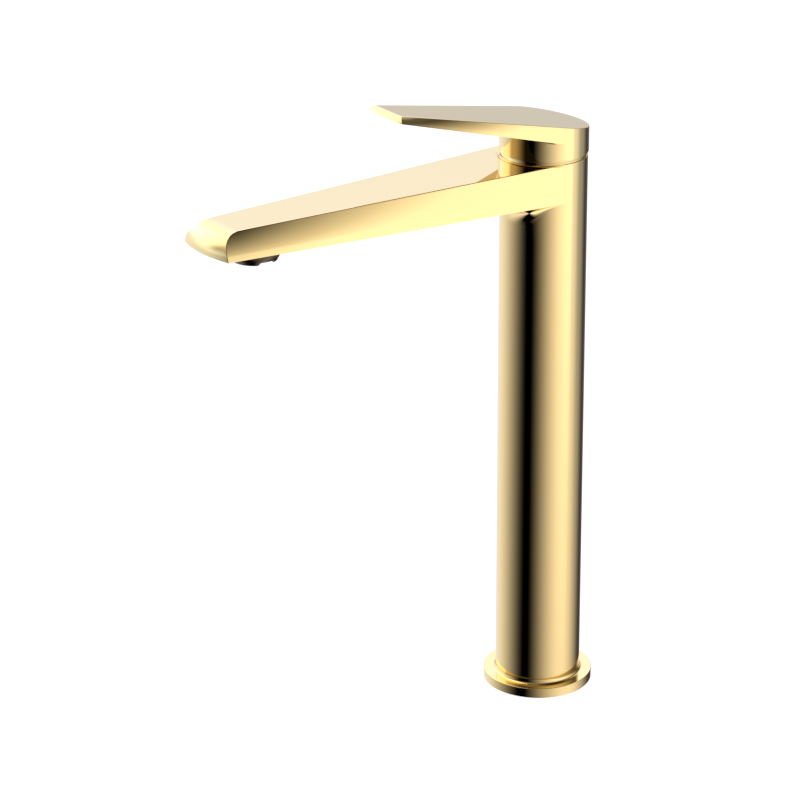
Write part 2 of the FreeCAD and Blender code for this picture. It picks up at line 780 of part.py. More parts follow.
# ---------------------------------------------------------------- handle


def lever_top(reach):
    """Level of the handle's sloping top face at a distance in front of the axis."""
    return number_of("hub_top") + math.tan(math.radians(number_of("lever_slope"))) * reach


def make_handle():
    """Hub and lever in one piece, with its grub screw and rear plug."""
    reach = number_of("lever_reach + lever_nose_bow") + 1.0
    corner = number_of("lever_reach")
    fold = number_of("lever_reach + lever_nose_bow - lever_nose_length")
    hub = number_of("hub_radius")
    slope = number_of("lever_slope")
    top_half = hub + (number_of("lever_tip_top_half") - hub) * reach / fold
    foot_half = hub + (number_of("lever_tip_foot_half") - hub) * reach / corner
    root_foot = lever_top(0) - number_of("lever_root_depth")
    tip_foot = lever_top(fold) - number_of("lever_tip_depth")
    far_foot = root_foot + (tip_foot - root_foot) * reach / corner
    depth = lever_top(reach) - far_foot
    root = hub - FLANK_SINK
    blade = tapered_bar(reach, (root, root, lever_top(0), root_foot,
                                0.5 * (lever_top(0) - root_foot)),
                        (top_half, foot_half, lever_top(reach), far_foot, 0.5 * depth))
    nose = nose_block(fold, number_of("lever_nose_length"), number_of("lever_nose_bow"),
                      number_of("lever_tip_foot_half"), lever_top(fold), tip_foot, LEVER_CURL,
                      slope)
    lever = shaped("Lever", blade.common(nose, TRIM_TOLERANCE))

    hub_solid = cylinder("HubCylinder", "hub_radius", "hub_bottom", "hub_top")
    trim = box("HubTrim", (f"-{BEYOND}", f"-{BEYOND}", "0"), (f"{BEYOND}", f"{BEYOND}", "40"))
    trim.Placement = Placement(Vector(0, 0, 0), Rotation(Vector(1, 0, 0), -slope))
    bind(trim, Placement__Base__x=f"-{BEYOND}",
         Placement__Base__y=f"-{BEYOND} * cos(lever_slope)",
         Placement__Base__z=f"hub_top + {BEYOND} * sin(lever_slope)")
    trimmed = cut("HubTrimmed", hub_solid, trim)

    cavity = common("Cavity", sphere("CavityBall", "cavity_radius", "pivot_z"),
                    cylinder("CavityLimit", "cavity_radius", "pivot_z", "ceiling_z"))
    boss = cylinder("Boss", "boss_radius", "pivot_z + 9", "ceiling_z + 1")
    grip = "stem_width / 2 + fit_gap / 2"
    socket = box("StemSocket", ("-(" + grip + ")", "-(" + grip + ")", "pivot_z + 8"),
                 (grip, grip, "pivot_z + stem_height + 0.5"))
    thread = cross_cylinder("ScrewThread", "2.5 + fit_gap / 2", "boss_radius + 2", "Y",
                            "0", "0", "screw_z")
    access = cross_cylinder("ScrewAccess", "plug_radius + fit_gap / 2", "12", "Y",
                            "0", "hub_radius - 10", "screw_z")
    hollowed = cut("HandleHollowed", fuse("HandleSolid", trimmed, lever), cavity)
    piece(cut("Handle", fuse("HandleBossed", hollowed, boss), socket, thread, access), "handle")

    plug_bar = cross_cylinder("PlugBar", "plug_radius", "12", "Y", "0",
                              "hub_radius - 1.4", "screw_z")
    plug_rim = cylinder("PlugRim", "hub_radius", "screw_z - 6", "screw_z + 6")
    piece(common("HandlePlug", plug_bar, plug_rim), "handle_plug")

    screw = cross_cylinder("ScrewShank", "2.5", "6", "Y", "0", grip, "screw_z")
    key = cross_cylinder("ScrewKey", "1.25", "3", "Y", "0", grip + " + 4", "screw_z")
    piece(cut("HandleSetScrew", screw, key), "handle_set_screw")


# ---------------------------------------------------------------- aerator


def make_aerator():
    """Threaded housing, regulator, screen and outlet grille under the spout's tip."""
    housing = design_body("aerator_housing")
    collar_top = "aerator_bottom + collar_height"
    turned(housing, "AeratorTurned", [
        ("grille_radius", "aerator_bottom"),
        ("aerator_collar_radius - collar_taper", "aerator_bottom"),
        ("aerator_collar_radius", "aerator_bottom + 2 * collar_taper"),
        ("aerator_collar_radius", collar_top), ("aerator_radius", collar_top),
        ("aerator_radius", "aerator_top"), ("grille_radius", "aerator_top"),
    ])
    notch = pocket(housing, "CoinNotch", "aerator_bottom - 1", "notch_depth + 1", True)
    rectangle(notch, "aerator_wall + 1", "notch_half", "aerator_collar_radius - 1")
    round_pattern(housing, doc.getObject("CoinNotch"), 2)

    grille = design_body("aerator_grille")
    circle(pad(grille, "GrillePad", "aerator_bottom + 1", "2.4"), "grille_radius - fit_gap / 2")
    centre = pocket(grille, "CentreCell", "aerator_bottom", "5", True)
    circle(centre, "0.9")
    for ring, (share, count) in enumerate(((0.28, 6), (0.55, 12), (0.82, 18))):
        cell = pocket(grille, f"Cell{ring}", "aerator_bottom", "5", True)
        circle(cell, "0.9", f"grille_radius * {share}")
        round_pattern(grille, doc.getObject(f"Cell{ring}"), count)

    screen = design_body("aerator_screen")
    level = "aerator_bottom + 3.6"
    turned(screen, "ScreenTurned", [
        ("0", level), ("grille_radius - fit_gap / 2", level),
        ("grille_radius - fit_gap / 2", level + " + 1"), ("4", level + " + 4"),
        ("0", level + " + 4"),
    ])
    regulator = design_body("flow_regulator")
    level = "aerator_bottom + 8"
    circle(pad(regulator, "RegulatorPad", level, "2.6"), "grille_radius - fit_gap / 2")
    jets = pocket(regulator, "Jet", level + " - 1", "5", True)
    circle(jets, "0.8", "grille_radius - 2.4")
    round_pattern(regulator, doc.getObject("Jet"), 10)

    seal = design_body("aerator_seal")
    ring = pad(seal, "AeratorSealRing", "aerator_top", "1.4")
    circle(ring, "aerator_radius")
    circle(ring, "grille_radius")

    for moved in (housing, grille, screen, regulator, seal):
        bind(moved, Placement__Base__y="-aerator_reach")


# ---------------------------------------------------------------- build, test and write


def check_document():
    """Stop if any object failed, a pocket cut nothing or a sub-part isn't sound."""
    for thing in doc.Objects:
        if {"Invalid", "Error"} & set(thing.State):
            raise RuntimeError(f"{thing.Name} failed: {thing.State}")
        if thing.TypeId == "PartDesign::Pocket":
            before = thing.BaseFeature.Shape.Volume
            if thing.Shape.Volume > before - 0.01:
                raise RuntimeError(f"{thing.Name} removes nothing")
    for thing in pieces:
        if thing.Shape.isNull() or not thing.Shape.isValid():
            raise RuntimeError(f"{thing.Label} has no sound shape")


def main():
    """Build every piece and write one STEP file for each."""
    fill_sheets()
    make_body()
    make_base()
    make_cartridge_fixed()
    make_cartridge_moving()
    make_handle()
    make_aerator()
    doc.recompute()
    check_document()
    os.makedirs("parts", exist_ok=True)
    for thing in pieces:
        thing.Shape.exportStep(f"parts/{thing.Label}.step")
        print(f"{thing.Label}: {thing.Shape.Volume:.0f} mm3, {len(thing.Shape.Solids)} solid(s)")


main()
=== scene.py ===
"""Tall single-lever basin mixer in polished gold, dressed for the studio.

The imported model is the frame.  The gold pieces and the aerator's ring are modelled again here as
smooth meshes of the same sizes; the works inside keep their own meshes and get finishes.
Lengths are metres, +Z is up and the spout points along -Y.
"""

import logging
import math
from collections.abc import Callable, Sequence
from dataclasses import dataclass
from enum import Enum
from typing import Any, ClassVar

import bmesh
import bpy
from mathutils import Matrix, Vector


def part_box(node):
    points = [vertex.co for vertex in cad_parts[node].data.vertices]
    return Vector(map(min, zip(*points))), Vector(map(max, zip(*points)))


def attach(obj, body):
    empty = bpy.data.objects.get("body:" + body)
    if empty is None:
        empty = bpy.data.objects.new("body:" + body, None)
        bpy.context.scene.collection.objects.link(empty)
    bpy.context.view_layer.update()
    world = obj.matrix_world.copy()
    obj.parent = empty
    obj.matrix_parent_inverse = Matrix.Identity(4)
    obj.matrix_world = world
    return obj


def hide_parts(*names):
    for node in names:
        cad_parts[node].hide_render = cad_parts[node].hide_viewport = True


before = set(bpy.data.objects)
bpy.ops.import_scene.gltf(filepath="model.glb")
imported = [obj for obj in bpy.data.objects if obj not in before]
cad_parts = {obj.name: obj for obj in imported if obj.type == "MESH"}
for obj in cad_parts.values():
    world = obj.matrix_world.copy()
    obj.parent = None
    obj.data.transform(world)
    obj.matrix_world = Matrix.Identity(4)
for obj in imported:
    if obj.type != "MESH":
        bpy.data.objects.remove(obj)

MM = 0.001
# Places closer than this are the same place.
TINY = 1e-6
# How far the post is drawn past its top before it is trimmed.
SPARE = 10 * MM
# The share of its radius that bends a cubic curve into a quarter circle.
ROUND = 0.5523
# Edges sharper than this stay sharp.
CREASE = math.radians(30)

log = logging.getLogger("basin_mixer")


# ------------------------------------------------------------------ shader maths


class Signal:
    """A node's output that takes part in Python expressions."""

    def __init__(self, board: "Board", socket: bpy.types.NodeSocket) -> None:
        """Keep the socket and the board that it belongs to."""
        self.board = board
        self.socket = socket

    def __add__(self, other: "Signal | float") -> "Signal":
        """Sum."""
        return self.board.maths("ADD", self, other)

    def __radd__(self, other: float) -> "Signal":
        """Sum with a number first."""
        return self.board.maths("ADD", other, self)

    def __mul__(self, other: "Signal | float") -> "Signal":
        """Product."""
        return self.board.maths("MULTIPLY", self, other)

    def __rmul__(self, other: float) -> "Signal":
        """Product with a number first."""
        return self.board.maths("MULTIPLY", other, self)

    def clamped(self) -> "Signal":
        """The value held between 0 and 1."""
        return self.board.add("ShaderNodeClamp", {}, {"Value": self}).result()


class Placed:
    """A node on a board, with its outputs within reach."""

    def __init__(self, board: "Board", node: bpy.types.Node) -> None:
        """Keep the node and its board."""
        self.board = board
        self.node = node

    def result(self, name: str | int = 0) -> Signal:
        """One of the node's outputs, by name or number."""
        return Signal(self.board, self.node.outputs[name])


class Board:
    """The node tree of one material or world."""

    def __init__(self, tree: bpy.types.NodeTree) -> None:
        """Start from an empty tree."""
        self.tree = tree
        tree.nodes.clear()

    def add(self, kind: str, settings: dict[str, Any], inputs: dict[str | int, Any]) -> Placed:
        """Add a node of any type.

        Args:
            kind: The node's type name.
            settings: Properties set first; "stops" fills a colour ramp.
            inputs: Values or signals for its sockets, by name or number.

        Returns:
            The node, placed on this board.
        """
        node = self.tree.nodes.new(kind)
        for name, value in settings.items():
            if name == "stops":
                self._fill_ramp(node.color_ramp, value)
            else:
                setattr(node, name, value)
        for name, value in inputs.items():
            if isinstance(value, Signal):
                self.tree.links.new(value.socket, node.inputs[name])
            else:
                node.inputs[name].default_value = value
        return Placed(self, node)

    def _fill_ramp(self, ramp: bpy.types.ColorRamp,
                   stops: Sequence[tuple[float, Sequence[float]]]) -> None:
        """Give a colour ramp its stops, with a smooth change between them.

        Args:
            ramp: The ramp.
            stops: Place from 0 to 1 and colour of each stop, in order.
        """
        ramp.interpolation = "EASE"
        while len(ramp.elements) < len(stops):
            ramp.elements.new(0.5)
        for element, (place, colour) in zip(ramp.elements, stops):
            element.position = place
            element.color = (*colour, 1.0)

    def maths(self, operation: str, *values: "Signal | float") -> Signal:
        """A Math node on signals and numbers.

        Args:
            operation: The Math node's operation.
            values: Its inputs in order.

        Returns:
            The node's value.
        """
        return self.add("ShaderNodeMath", {"operation": operation},
                        dict(enumerate(values))).result()

    def blend(self, factor: Signal, first: Any, second: Any) -> Signal:
        """A colour between two, by a factor from 0 to 1."""
        node = self.add("ShaderNodeMix", {"data_type": "RGBA"}, {0: factor, 6: first, 7: second})
        return node.result(2)

    def noise(self, where: Signal, scale: float, detail: float) -> Signal:
        """Soft noise from 0 to 1 on given coordinates."""
        return self.add("ShaderNodeTexNoise", {},
                        {"Vector": where, "Scale": scale, "Detail": detail}).result("Fac")


# ------------------------------------------------------------------ finishes


@dataclass(frozen=True)
class Finish:
    """What a surface is like: colours, shine and how fine its grain is.

    The grain is the size of its noise in features per metre, stretched along one axis where the
    piece was turned or drawn.
    """

    name: str
    light: tuple[float, float, float]
    shade: tuple[float, float, float]
    metal: float
    rough: tuple[float, float]
    grain: float
    stretch: tuple[float, float, float] = (1.0, 1.0, 1.0)
    relief: float = 0.0
    mottle: float = 0.5
    edge: float = 0.5

    def material(self) -> bpy.types.Material:
        """Build the finish as a node material.

        Returns:
            The material, with colour, roughness and relief that vary over the surface.
        """
        made = bpy.data.materials.new(self.name)
        made.use_nodes = True
        board = Board(made.node_tree)
        place = board.add("ShaderNodeTexCoord", {}, {}).result("Object")
        along = board.add("ShaderNodeMapping", {}, {"Vector": place, "Scale": self.stretch}).result()
        fine = board.noise(along, self.grain, 4.0)
        broad = board.noise(place, self.grain * 0.04, 3.0)
        tone = (fine * self.mottle + broad * (1.0 - self.mottle)).clamped()
        colour = board.blend(tone, (*self.shade, 1.0), (*self.light, 1.0))
        smooth, dull = self.rough
        rough = smooth + (dull - smooth) * (0.5 * fine + 0.5 * broad)
        sockets: dict[str | int, Any] = {
            "Base Color": colour, "Roughness": rough, "Metallic": self.metal,
            "Specular IOR Level": self.edge}
        if self.relief:
            sockets["Normal"] = board.add("ShaderNodeBump", {}, {
                "Height": fine, "Strength": 1.0, "Distance": self.relief}).result()
        shader = board.add("ShaderNodeBsdfPrincipled", {}, sockets)
        board.add("ShaderNodeOutputMaterial", {}, {"Surface": shader.result()})
        return made


class Coat(Enum):
    """The finishes that the mixer's pieces come in."""

    GOLD = Finish("polished_gold", (0.985, 0.728, 0.322), (0.965, 0.705, 0.300), 1.0,
                  (0.018, 0.034), 900.0, (1.0, 1.0, 0.12), 0.0, 0.3)
    BRASS = Finish("raw_brass", (0.78, 0.60, 0.30), (0.62, 0.46, 0.20), 1.0,
                   (0.22, 0.38), 2600.0, (1.0, 1.0, 0.08), 2e-6)
    COPPER = Finish("copper_tube", (0.80, 0.45, 0.30), (0.60, 0.30, 0.18), 1.0,
                    (0.20, 0.36), 1800.0, (1.0, 1.0, 0.05), 2e-6)
    STEM = Finish("stem_brass", (0.72, 0.58, 0.34), (0.56, 0.43, 0.22), 1.0,
                  (0.30, 0.46), 2200.0, (1.0, 1.0, 1.0), 4e-6)
    STEEL = Finish("steel_hardware", (0.66, 0.66, 0.68), (0.50, 0.50, 0.52), 1.0,
                   (0.20, 0.36), 2600.0, (1.0, 0.2, 1.0), 2e-6)
    RUBBER = Finish("black_rubber", (0.035, 0.035, 0.036), (0.018, 0.018, 0.019), 0.0,
                    (0.55, 0.75), 3200.0, (1.0, 1.0, 1.0), 6e-6)
    GREY = Finish("grey_plastic", (0.36, 0.37, 0.39), (0.31, 0.32, 0.34), 0.0,
                  (0.40, 0.55), 2400.0, (1.0, 1.0, 1.0), 4e-6)
    WHITE = Finish("white_plastic", (0.86, 0.86, 0.83), (0.79, 0.79, 0.76), 0.0,
                   (0.38, 0.52), 2400.0, (1.0, 1.0, 1.0), 4e-6)
    CERAMIC = Finish("disc_ceramic", (0.94, 0.94, 0.91), (0.87, 0.87, 0.83), 0.0,
                     (0.12, 0.24), 3000.0, (1.0, 1.0, 1.0), 1e-6)
    DARK = Finish("dark_aerator", (0.130, 0.105, 0.070), (0.085, 0.068, 0.045), 1.0,
                  (0.14, 0.26), 2000.0, (1.0, 1.0, 0.3), 3e-6)
    INSERT = Finish("aerator_insert", (0.07, 0.068, 0.06), (0.045, 0.043, 0.038), 0.0,
                    (0.35, 0.50), 2600.0, (1.0, 1.0, 1.0), 4e-6)


class Paintbox:
    """Makes each finish once and hands it out."""

    def __init__(self) -> None:
        """Start with nothing mixed."""
        self.mixed: dict[str, bpy.types.Material] = {}

    def get(self, coat: Coat) -> bpy.types.Material:
        """The material of a finish, built at its first use.

        Args:
            coat: Which finish.

        Returns:
            Its material, the same one each time.
        """
        finish: Finish = coat.value
        if finish.name not in self.mixed:
            self.mixed[finish.name] = finish.material()
        return self.mixed[finish.name]

    def dress(self, piece: bpy.types.Object, coat: Coat) -> None:
        """Give a piece one finish all over."""
        piece.data.materials.clear()
        piece.data.materials.append(self.get(coat))


# ------------------------------------------------------------------ bench


class Bench:
    """One new mesh, worked in edit mode with Blender's own operators."""

    def __init__(self, name: str) -> None:
        """Name the piece; its mesh comes with the first primitive."""
        self.name = name
        self.piece: bpy.types.Object | None = None

    def start(self, primitive: Callable[..., Any], **sizes: Any) -> None:
        """Add a primitive, put its place in its mesh and open it with nothing selected.

        Args:
            primitive: The operator that adds it.
            sizes: That operator's own arguments.
        """
        self.leave_edit()
        bpy.ops.object.select_all(action="DESELECT")
        primitive(**sizes)
        self.piece = bpy.context.object
        self.piece.name = self.name
        self.piece.data.name = self.name
        bpy.ops.object.transform_apply(location=True, rotation=True, scale=True)
        bpy.ops.object.mode_set(mode="EDIT")
        bpy.context.tool_settings.mesh_select_mode = (True, False, False)
        bpy.ops.mesh.select_all(action="DESELECT")

    def leave_edit(self) -> None:
        """Go back to object mode from any piece's edit mode."""
        if bpy.context.mode != "OBJECT":
            bpy.ops.object.mode_set(mode="OBJECT")

    def mesh(self) -> bmesh.types.BMesh:
        """The mesh under edit, to read places from and to mark what is selected.

        Returns:
            The mesh, with its vertices ready to be looked up.
        """
        found = bmesh.from_edit_mesh(self.piece.data)
        found.verts.ensure_lookup_table()
        return found

    def hold(self, indices: Sequence[int]) -> None:
        """Select these vertices and nothing else.

        Args:
            indices: Their numbers in the mesh.
        """
        bpy.ops.mesh.select_all(action="DESELECT")
        mesh = self.mesh()
        for index in indices:
            mesh.verts[index].select_set(True)
        mesh.select_flush(True)
        bmesh.update_edit_mesh(self.piece.data)

    def pick(self, rule: Callable[[Vector], bool]) -> None:
        """Select the vertices whose place meets a rule."""
        self.hold([vertex.index for vertex in self.mesh().verts if rule(vertex.co)])

    def pick_edges(self, rule: Callable[[Vector, Vector, float], bool]) -> int:
        """Select edges by their two ends and the angle between their faces.

        Args:
            rule: Told both ends and the angle in degrees, says whether the edge is wanted.

        Returns:
            How many edges are now selected.
        """
        bpy.context.tool_settings.mesh_select_mode = (False, True, False)
        bpy.ops.mesh.select_all(action="DESELECT")
        count = 0
        for edge in self.mesh().edges:
            turn = math.degrees(edge.calc_face_angle(0.0))
            if rule(edge.verts[0].co, edge.verts[1].co, turn):
                edge.select_set(True)
                count += 1
        bmesh.update_edit_mesh(self.piece.data)
        return count

    def extrude(self, step: Sequence[float] = (0.0, 0.0, 0.0)) -> None:
        """Extrude what is selected and move it by a step."""
        bpy.ops.mesh.extrude_region_move(TRANSFORM_OT_translate={"value": step})

    def place_row(self, targets: Sequence[Vector], order: Callable[[Vector], float]) -> None:
        """Move each selected vertex to its own target.

        Args:
            targets: Where they go, in order.
            order: What the vertices are sorted by to meet their targets.
        """
        row = [(order(vertex.co), vertex.index, vertex.co.copy())
               for vertex in self.mesh().verts if vertex.select]
        row.sort(key=lambda entry: entry[0])
        for (_, index, spot), target in zip(row, targets, strict=True):
            step = target - spot
            if step.length > 1e-8:
                self.hold([index])
                bpy.ops.transform.translate(value=step)
        self.hold([index for _, index, _ in row])

    def fill(self, rule: Callable[[Vector], bool]) -> None:
        """Close the outline of the vertices that meet a rule with one face."""
        self.pick(rule)
        bpy.ops.mesh.edge_face_add()

    def weld(self) -> None:
        """Merge doubles and turn every face outwards."""
        bpy.ops.mesh.select_all(action="SELECT")
        bpy.ops.mesh.remove_doubles(threshold=TINY)
        bpy.ops.mesh.select_all(action="SELECT")
        bpy.ops.mesh.normals_make_consistent(inside=False)

    def bevel(self, width: float, segments: int,
              rule: Callable[[Vector, Vector, float], bool]) -> None:
        """Round the edges that meet a rule.

        Args:
            width: How far the round reaches from the edge.
            segments: How many flats it has.
            rule: Told both ends and the angle in degrees, says whether the edge is wanted.
        """
        if self.pick_edges(rule):
            bpy.ops.mesh.bevel(offset=width, segments=segments, profile=0.5, affect="EDGES",
                               clamp_overlap=True)
        bpy.context.tool_settings.mesh_select_mode = (True, False, False)

    def lathe(self, outline: Sequence[tuple[float, float]], facets: int,
              centre: tuple[float, float] = (0.0, 0.0), ring: bool = True) -> None:
        """Turn an outline of (radius, level) points about an upright axis.

        Args:
            outline: The half section's corners in order.
            facets: How many flats go round.
            centre: Where the axis stands.
            ring: Whether the outline closes on itself; if not, its two ends get flat faces.
        """
        radius, level = outline[0]
        self.start(bpy.ops.mesh.primitive_circle_add, vertices=facets, radius=radius,
                   fill_type="NOTHING", location=(*centre, level))
        first = list(range(facets))
        self.hold(first)
        for wide, high in [*outline[1:], outline[0]] if ring else outline[1:]:
            self.extrude((0.0, 0.0, high - level))
            share = wide / radius
            bpy.ops.transform.resize(value=(share, share, 1.0), center_override=(*centre, high))
            radius, level = wide, high
        if not ring:
            bpy.ops.mesh.edge_face_add()
            self.hold(first)
            bpy.ops.mesh.edge_face_add()
        self.weld()

    def modifier(self, kind: str, **settings: Any) -> None:
        """Add a modifier, set it and apply it.

        Args:
            kind: The modifier's type.
            settings: Its properties.
        """
        self.leave_edit()
        bpy.ops.object.select_all(action="DESELECT")
        bpy.context.view_layer.objects.active = self.piece
        self.piece.select_set(True)
        made = self.piece.modifiers.new(kind.title(), kind)
        for name, value in settings.items():
            setattr(made, name, value)
        bpy.ops.object.modifier_apply(modifier=made.name)

    def edit(self) -> None:
        """Open the piece again in edit mode."""
        bpy.ops.object.mode_set(mode="EDIT")
        bpy.context.tool_settings.mesh_select_mode = (True, False, False)

    def carve(self, tool: "Bench") -> None:
        """Cut another piece out of this one; the other is used up."""
        self.modifier("BOOLEAN", operation="DIFFERENCE", solver="EXACT", object=tool.piece)
        bpy.data.objects.remove(tool.piece)

    def finish(self) -> bpy.types.Object:
        """Close the work: smooth shading up to an angle, with flats kept flat.

        Returns:
            The finished piece, at the origin.
        """
        self.leave_edit()
        bpy.ops.object.select_all(action="DESELECT")
        bpy.context.view_layer.objects.active = self.piece
        self.piece.select_set(True)
        bpy.ops.object.shade_smooth_by_angle(angle=CREASE)
        self.modifier("WEIGHTED_NORMAL", mode="FACE_AREA", keep_sharp=True)
        log.info("%s: %d faces", self.name, len(self.piece.data.polygons))
        return self.piece


# ------------------------------------------------------------------ post with an arm


@dataclass
class PostAndArm:
    """A round post with a long tapering arm in one piece with it.

    The arm's flanks leave the post at a tangent and its front rolls over from a straight fold.
    Reaches are distances in front of the axis.  The belly is how far down the flank its curve
    bows, and the lean how far the bow stands in at the tip.  The web is the blend's radius under
    the arm.  The shares are the flank's lines, from 0 at the top edge to 1 at the foot edge.
    """

    radius: float
    bottom: float
    waist: float
    root_top: float
    root_foot: float
    top_rise: float
    foot_rise: float
    tip_top_half: float
    tip_foot_half: float
    fold: float
    nose_length: float
    nose_bow: float
    nose_curl: float
    nose_rise: float
    belly: float
    lean: float
    web: float
    back_tilted: bool
    shares: tuple[float, ...]
    facets: int = 160
    web_steps: int = 8
    nose_steps: int = 10
    length_cuts: int = 23

    @property
    def corner(self) -> float:
        """Reach of the tip's lower corners."""
        return self.fold + self.nose_length - self.nose_bow

    def top_level(self, reach: float) -> float:
        """Level of the arm's top face."""
        return self.root_top + self.top_rise * reach

    def foot_level(self, reach: float) -> float:
        """Level of the arm's underside."""
        return self.root_foot + self.foot_rise * reach

    def flank(self, reach: float, share: float) -> Vector:
        """A point of the flank.

        Args:
            reach: Distance in front of the axis.
            share: 0 at the top edge and 1 at the foot edge.

        Returns:
            Its place on the +X side.
        """
        top, foot = self.top_level(reach), self.foot_level(reach)
        half_top = self.radius + (self.tip_top_half - self.radius) * reach / self.fold
        half_foot = self.radius + (self.tip_foot_half - self.radius) * reach / self.corner
        half_bend = half_foot - self.lean * reach / self.corner
        bend = top - self.belly * (top - foot)
        a, b, c = (1 - share) ** 2, 2 * share * (1 - share), share ** 2
        return Vector((a * half_top + b * half_bend + c * half_foot, -reach,
                       a * top + b * bend + c * foot))

    def nose(self, across: float, turn: float) -> Vector:
        """A point of the rolled front.

        Args:
            across: Its distance from the middle plane.
            turn: 0 at the fold and 1 at the lower edge.

        Returns:
            Its place.
        """
        length = self.nose_length - self.nose_bow * (across / self.tip_foot_half) ** 2
        top, foot = self.top_level(self.fold), self.foot_level(self.corner)
        a, b = (1 - turn) ** 3, 3 * turn * (1 - turn) ** 2
        c, d = 3 * turn ** 2 * (1 - turn), turn ** 3
        curl = self.nose_curl
        reach = self.fold + length * (b * curl + c + d)
        level = (a * top + b * (top + self.nose_rise * curl * length)
                 + c * (foot + curl * (top - foot)) + d * foot)
        return Vector((across, -reach, level))

    def corner_point(self, share: float) -> tuple[Vector, float]:
        """Where a line of the flank meets the rolled front.

        Args:
            share: Which line, from 0 at the top edge to 1 at the foot edge.

        Returns:
            The place and the front's own turn there.
        """
        low, high = 0.0, 1.0
        reach = self.fold
        for _ in range(40):
            turn = 0.5 * (low + high)
            for _ in range(6):
                reach = -self.nose(self.flank(reach, share).x, turn).y
            if self.flank(reach, share).z < self.nose(self.flank(reach, share).x, turn).z:
                low = turn
            else:
                high = turn
        if share == 0.0:
            return self.flank(self.fold, 0.0), 0.0
        if share == 1.0:
            return self.flank(self.corner, 1.0), 1.0
        return self.flank(reach, share), turn

    def web_size(self, angle: float) -> float:
        """Radius of the blend under the arm, less where the underside is narrow.

        Args:
            angle: Direction about the axis, from the arm's middle plane.

        Returns:
            The radius there, 0 where there is no room for it.
        """
        taper = (self.radius - self.tip_foot_half) / self.corner
        room = self.radius / (abs(math.sin(angle)) + taper * math.cos(angle)) - self.radius
        if room < 2e-5:
            return 0.0
        return (self.web ** -4 + room ** -4) ** -0.25

    def web_point(self, angle: float, share: float) -> Vector:
        """A point of the blend from the post into the arm's underside.

        Args:
            angle: Its direction about the axis, from the arm's middle plane.
            share: 0 on the post and 1 on the underside.

        Returns:
            Its place.
        """
        size = self.web_size(angle)
        slope = self.foot_rise * math.cos(angle)
        start = self.root_foot + slope * self.radius - size
        stop = self.root_foot + slope * (self.radius + size)
        a, b = (1 - share) ** 3, 3 * share * (1 - share) ** 2
        c, d = 3 * share ** 2 * (1 - share), share ** 3
        out = (a + b) * self.radius + c * (self.radius + (1 - ROUND) * size) + d * (self.radius + size)
        level = (a * start + b * (start + ROUND * size)
                 + c * (stop - ROUND * size * slope) + d * stop)
        return Vector((out * math.sin(angle), -out * math.cos(angle), level))

    def runs_under(self, a: Vector, b: Vector, turn: float) -> bool:
        """Whether an edge runs round the arm's underside."""
        return (turn > 35 and a.y < -MM and b.y < -MM
                and all(abs(p.z - self.foot_level(-p.y)) < 5 * TINY for p in (a, b)))

    def runs_down_tip(self, a: Vector, b: Vector, turn: float) -> bool:
        """Whether an edge runs down the corner between the flank and the rolled front."""
        return turn > 24 and max(a.y, b.y) < MM - self.fold

    def model(self, name: str) -> Bench:
        """Model the whole form: one half by extrusion, then its mirror image.

        Args:
            name: The piece's name.

        Returns:
            The bench, still in edit mode.
        """
        bench = Bench(name)
        bench.start(bpy.ops.mesh.primitive_circle_add, vertices=self.facets, radius=self.radius,
                    fill_type="NOTHING", location=(0.0, 0.0, self.bottom))
        bench.pick(lambda spot: spot.x < -TINY)
        bpy.ops.mesh.delete(type="VERT")
        bench.pick(lambda spot: True)
        bench.extrude((0.0, 0.0, self.waist - self.bottom))
        self._raise_back(bench)
        self._raise_front(bench)
        self._draw_flank(bench)
        self._roll_nose(bench)
        bench.weld()
        self._close(bench)
        bench.modifier("MIRROR", use_mirror_merge=True, merge_threshold=TINY)
        bench.edit()
        bench.weld()
        return bench

    def _raise_back(self, bench: Bench) -> None:
        """Carry the rear half of the post up and score it at the flank's levels.

        Args:
            bench: The half form's bench.
        """
        bench.pick(lambda spot: spot.y > -TINY and spot.z > self.waist - TINY)
        bench.extrude((0.0, 0.0, self.root_top + SPARE - self.waist))
        tilt = (self.foot_rise, self.top_rise) if self.back_tilted else (0.0, 0.0)
        for share in reversed(self.shares):
            level = self.flank(0.0, share).z
            climb = tilt[1] + (tilt[0] - tilt[1]) * (self.root_top - level) / (
                self.root_top - self.root_foot)
            bench.pick(lambda spot: spot.y > -TINY and spot.z > self.waist - TINY)
            bpy.ops.mesh.bisect(plane_co=(0.0, 0.0, level), plane_no=(0.0, climb, 1.0),
                                use_fill=False, clear_outer=share == 0.0, clear_inner=False,
                                threshold=1e-8)

    def _raise_front(self, bench: Bench) -> None:
        """Carry the front half up to the blend and roll it out under the arm.

        Args:
            bench: The half form's bench.
        """
        bench.pick(lambda spot: spot.y < TINY and abs(spot.z - self.waist) < TINY)
        count = self.facets // 4
        angles = [math.pi / 2 * step / count for step in range(count + 1)]
        for step in range(self.web_steps + 1):
            bench.extrude()
            share = step / self.web_steps
            bench.place_row([self.web_point(angle, share) for angle in angles],
                            lambda spot: math.atan2(spot.x, -spot.y))

    def _draw_flank(self, bench: Bench) -> None:
        """Draw the post's side edge out into the flank and divide it along its length.

        Args:
            bench: The half form's bench.
        """

        def on_edge(spot: Vector) -> bool:
            """Whether a place lies on the post's side edge beside the arm."""
            return (abs(spot.y) < TINY and spot.x > self.radius - TINY
                    and spot.z > self.root_foot - TINY)

        bench.weld()
        bench.pick(on_edge)
        bench.extrude((0.0, -self.fold * 0.9, 0.0))
        ends = [self.corner_point(share)[0] for share in self.shares]
        bench.place_row(ends, lambda spot: -spot.z)
        bench.pick_edges(lambda a, b, turn: abs(a.y - b.y) > self.fold * 0.8)
        bpy.ops.mesh.subdivide(number_cuts=self.length_cuts)
        bpy.context.tool_settings.mesh_select_mode = (True, False, False)

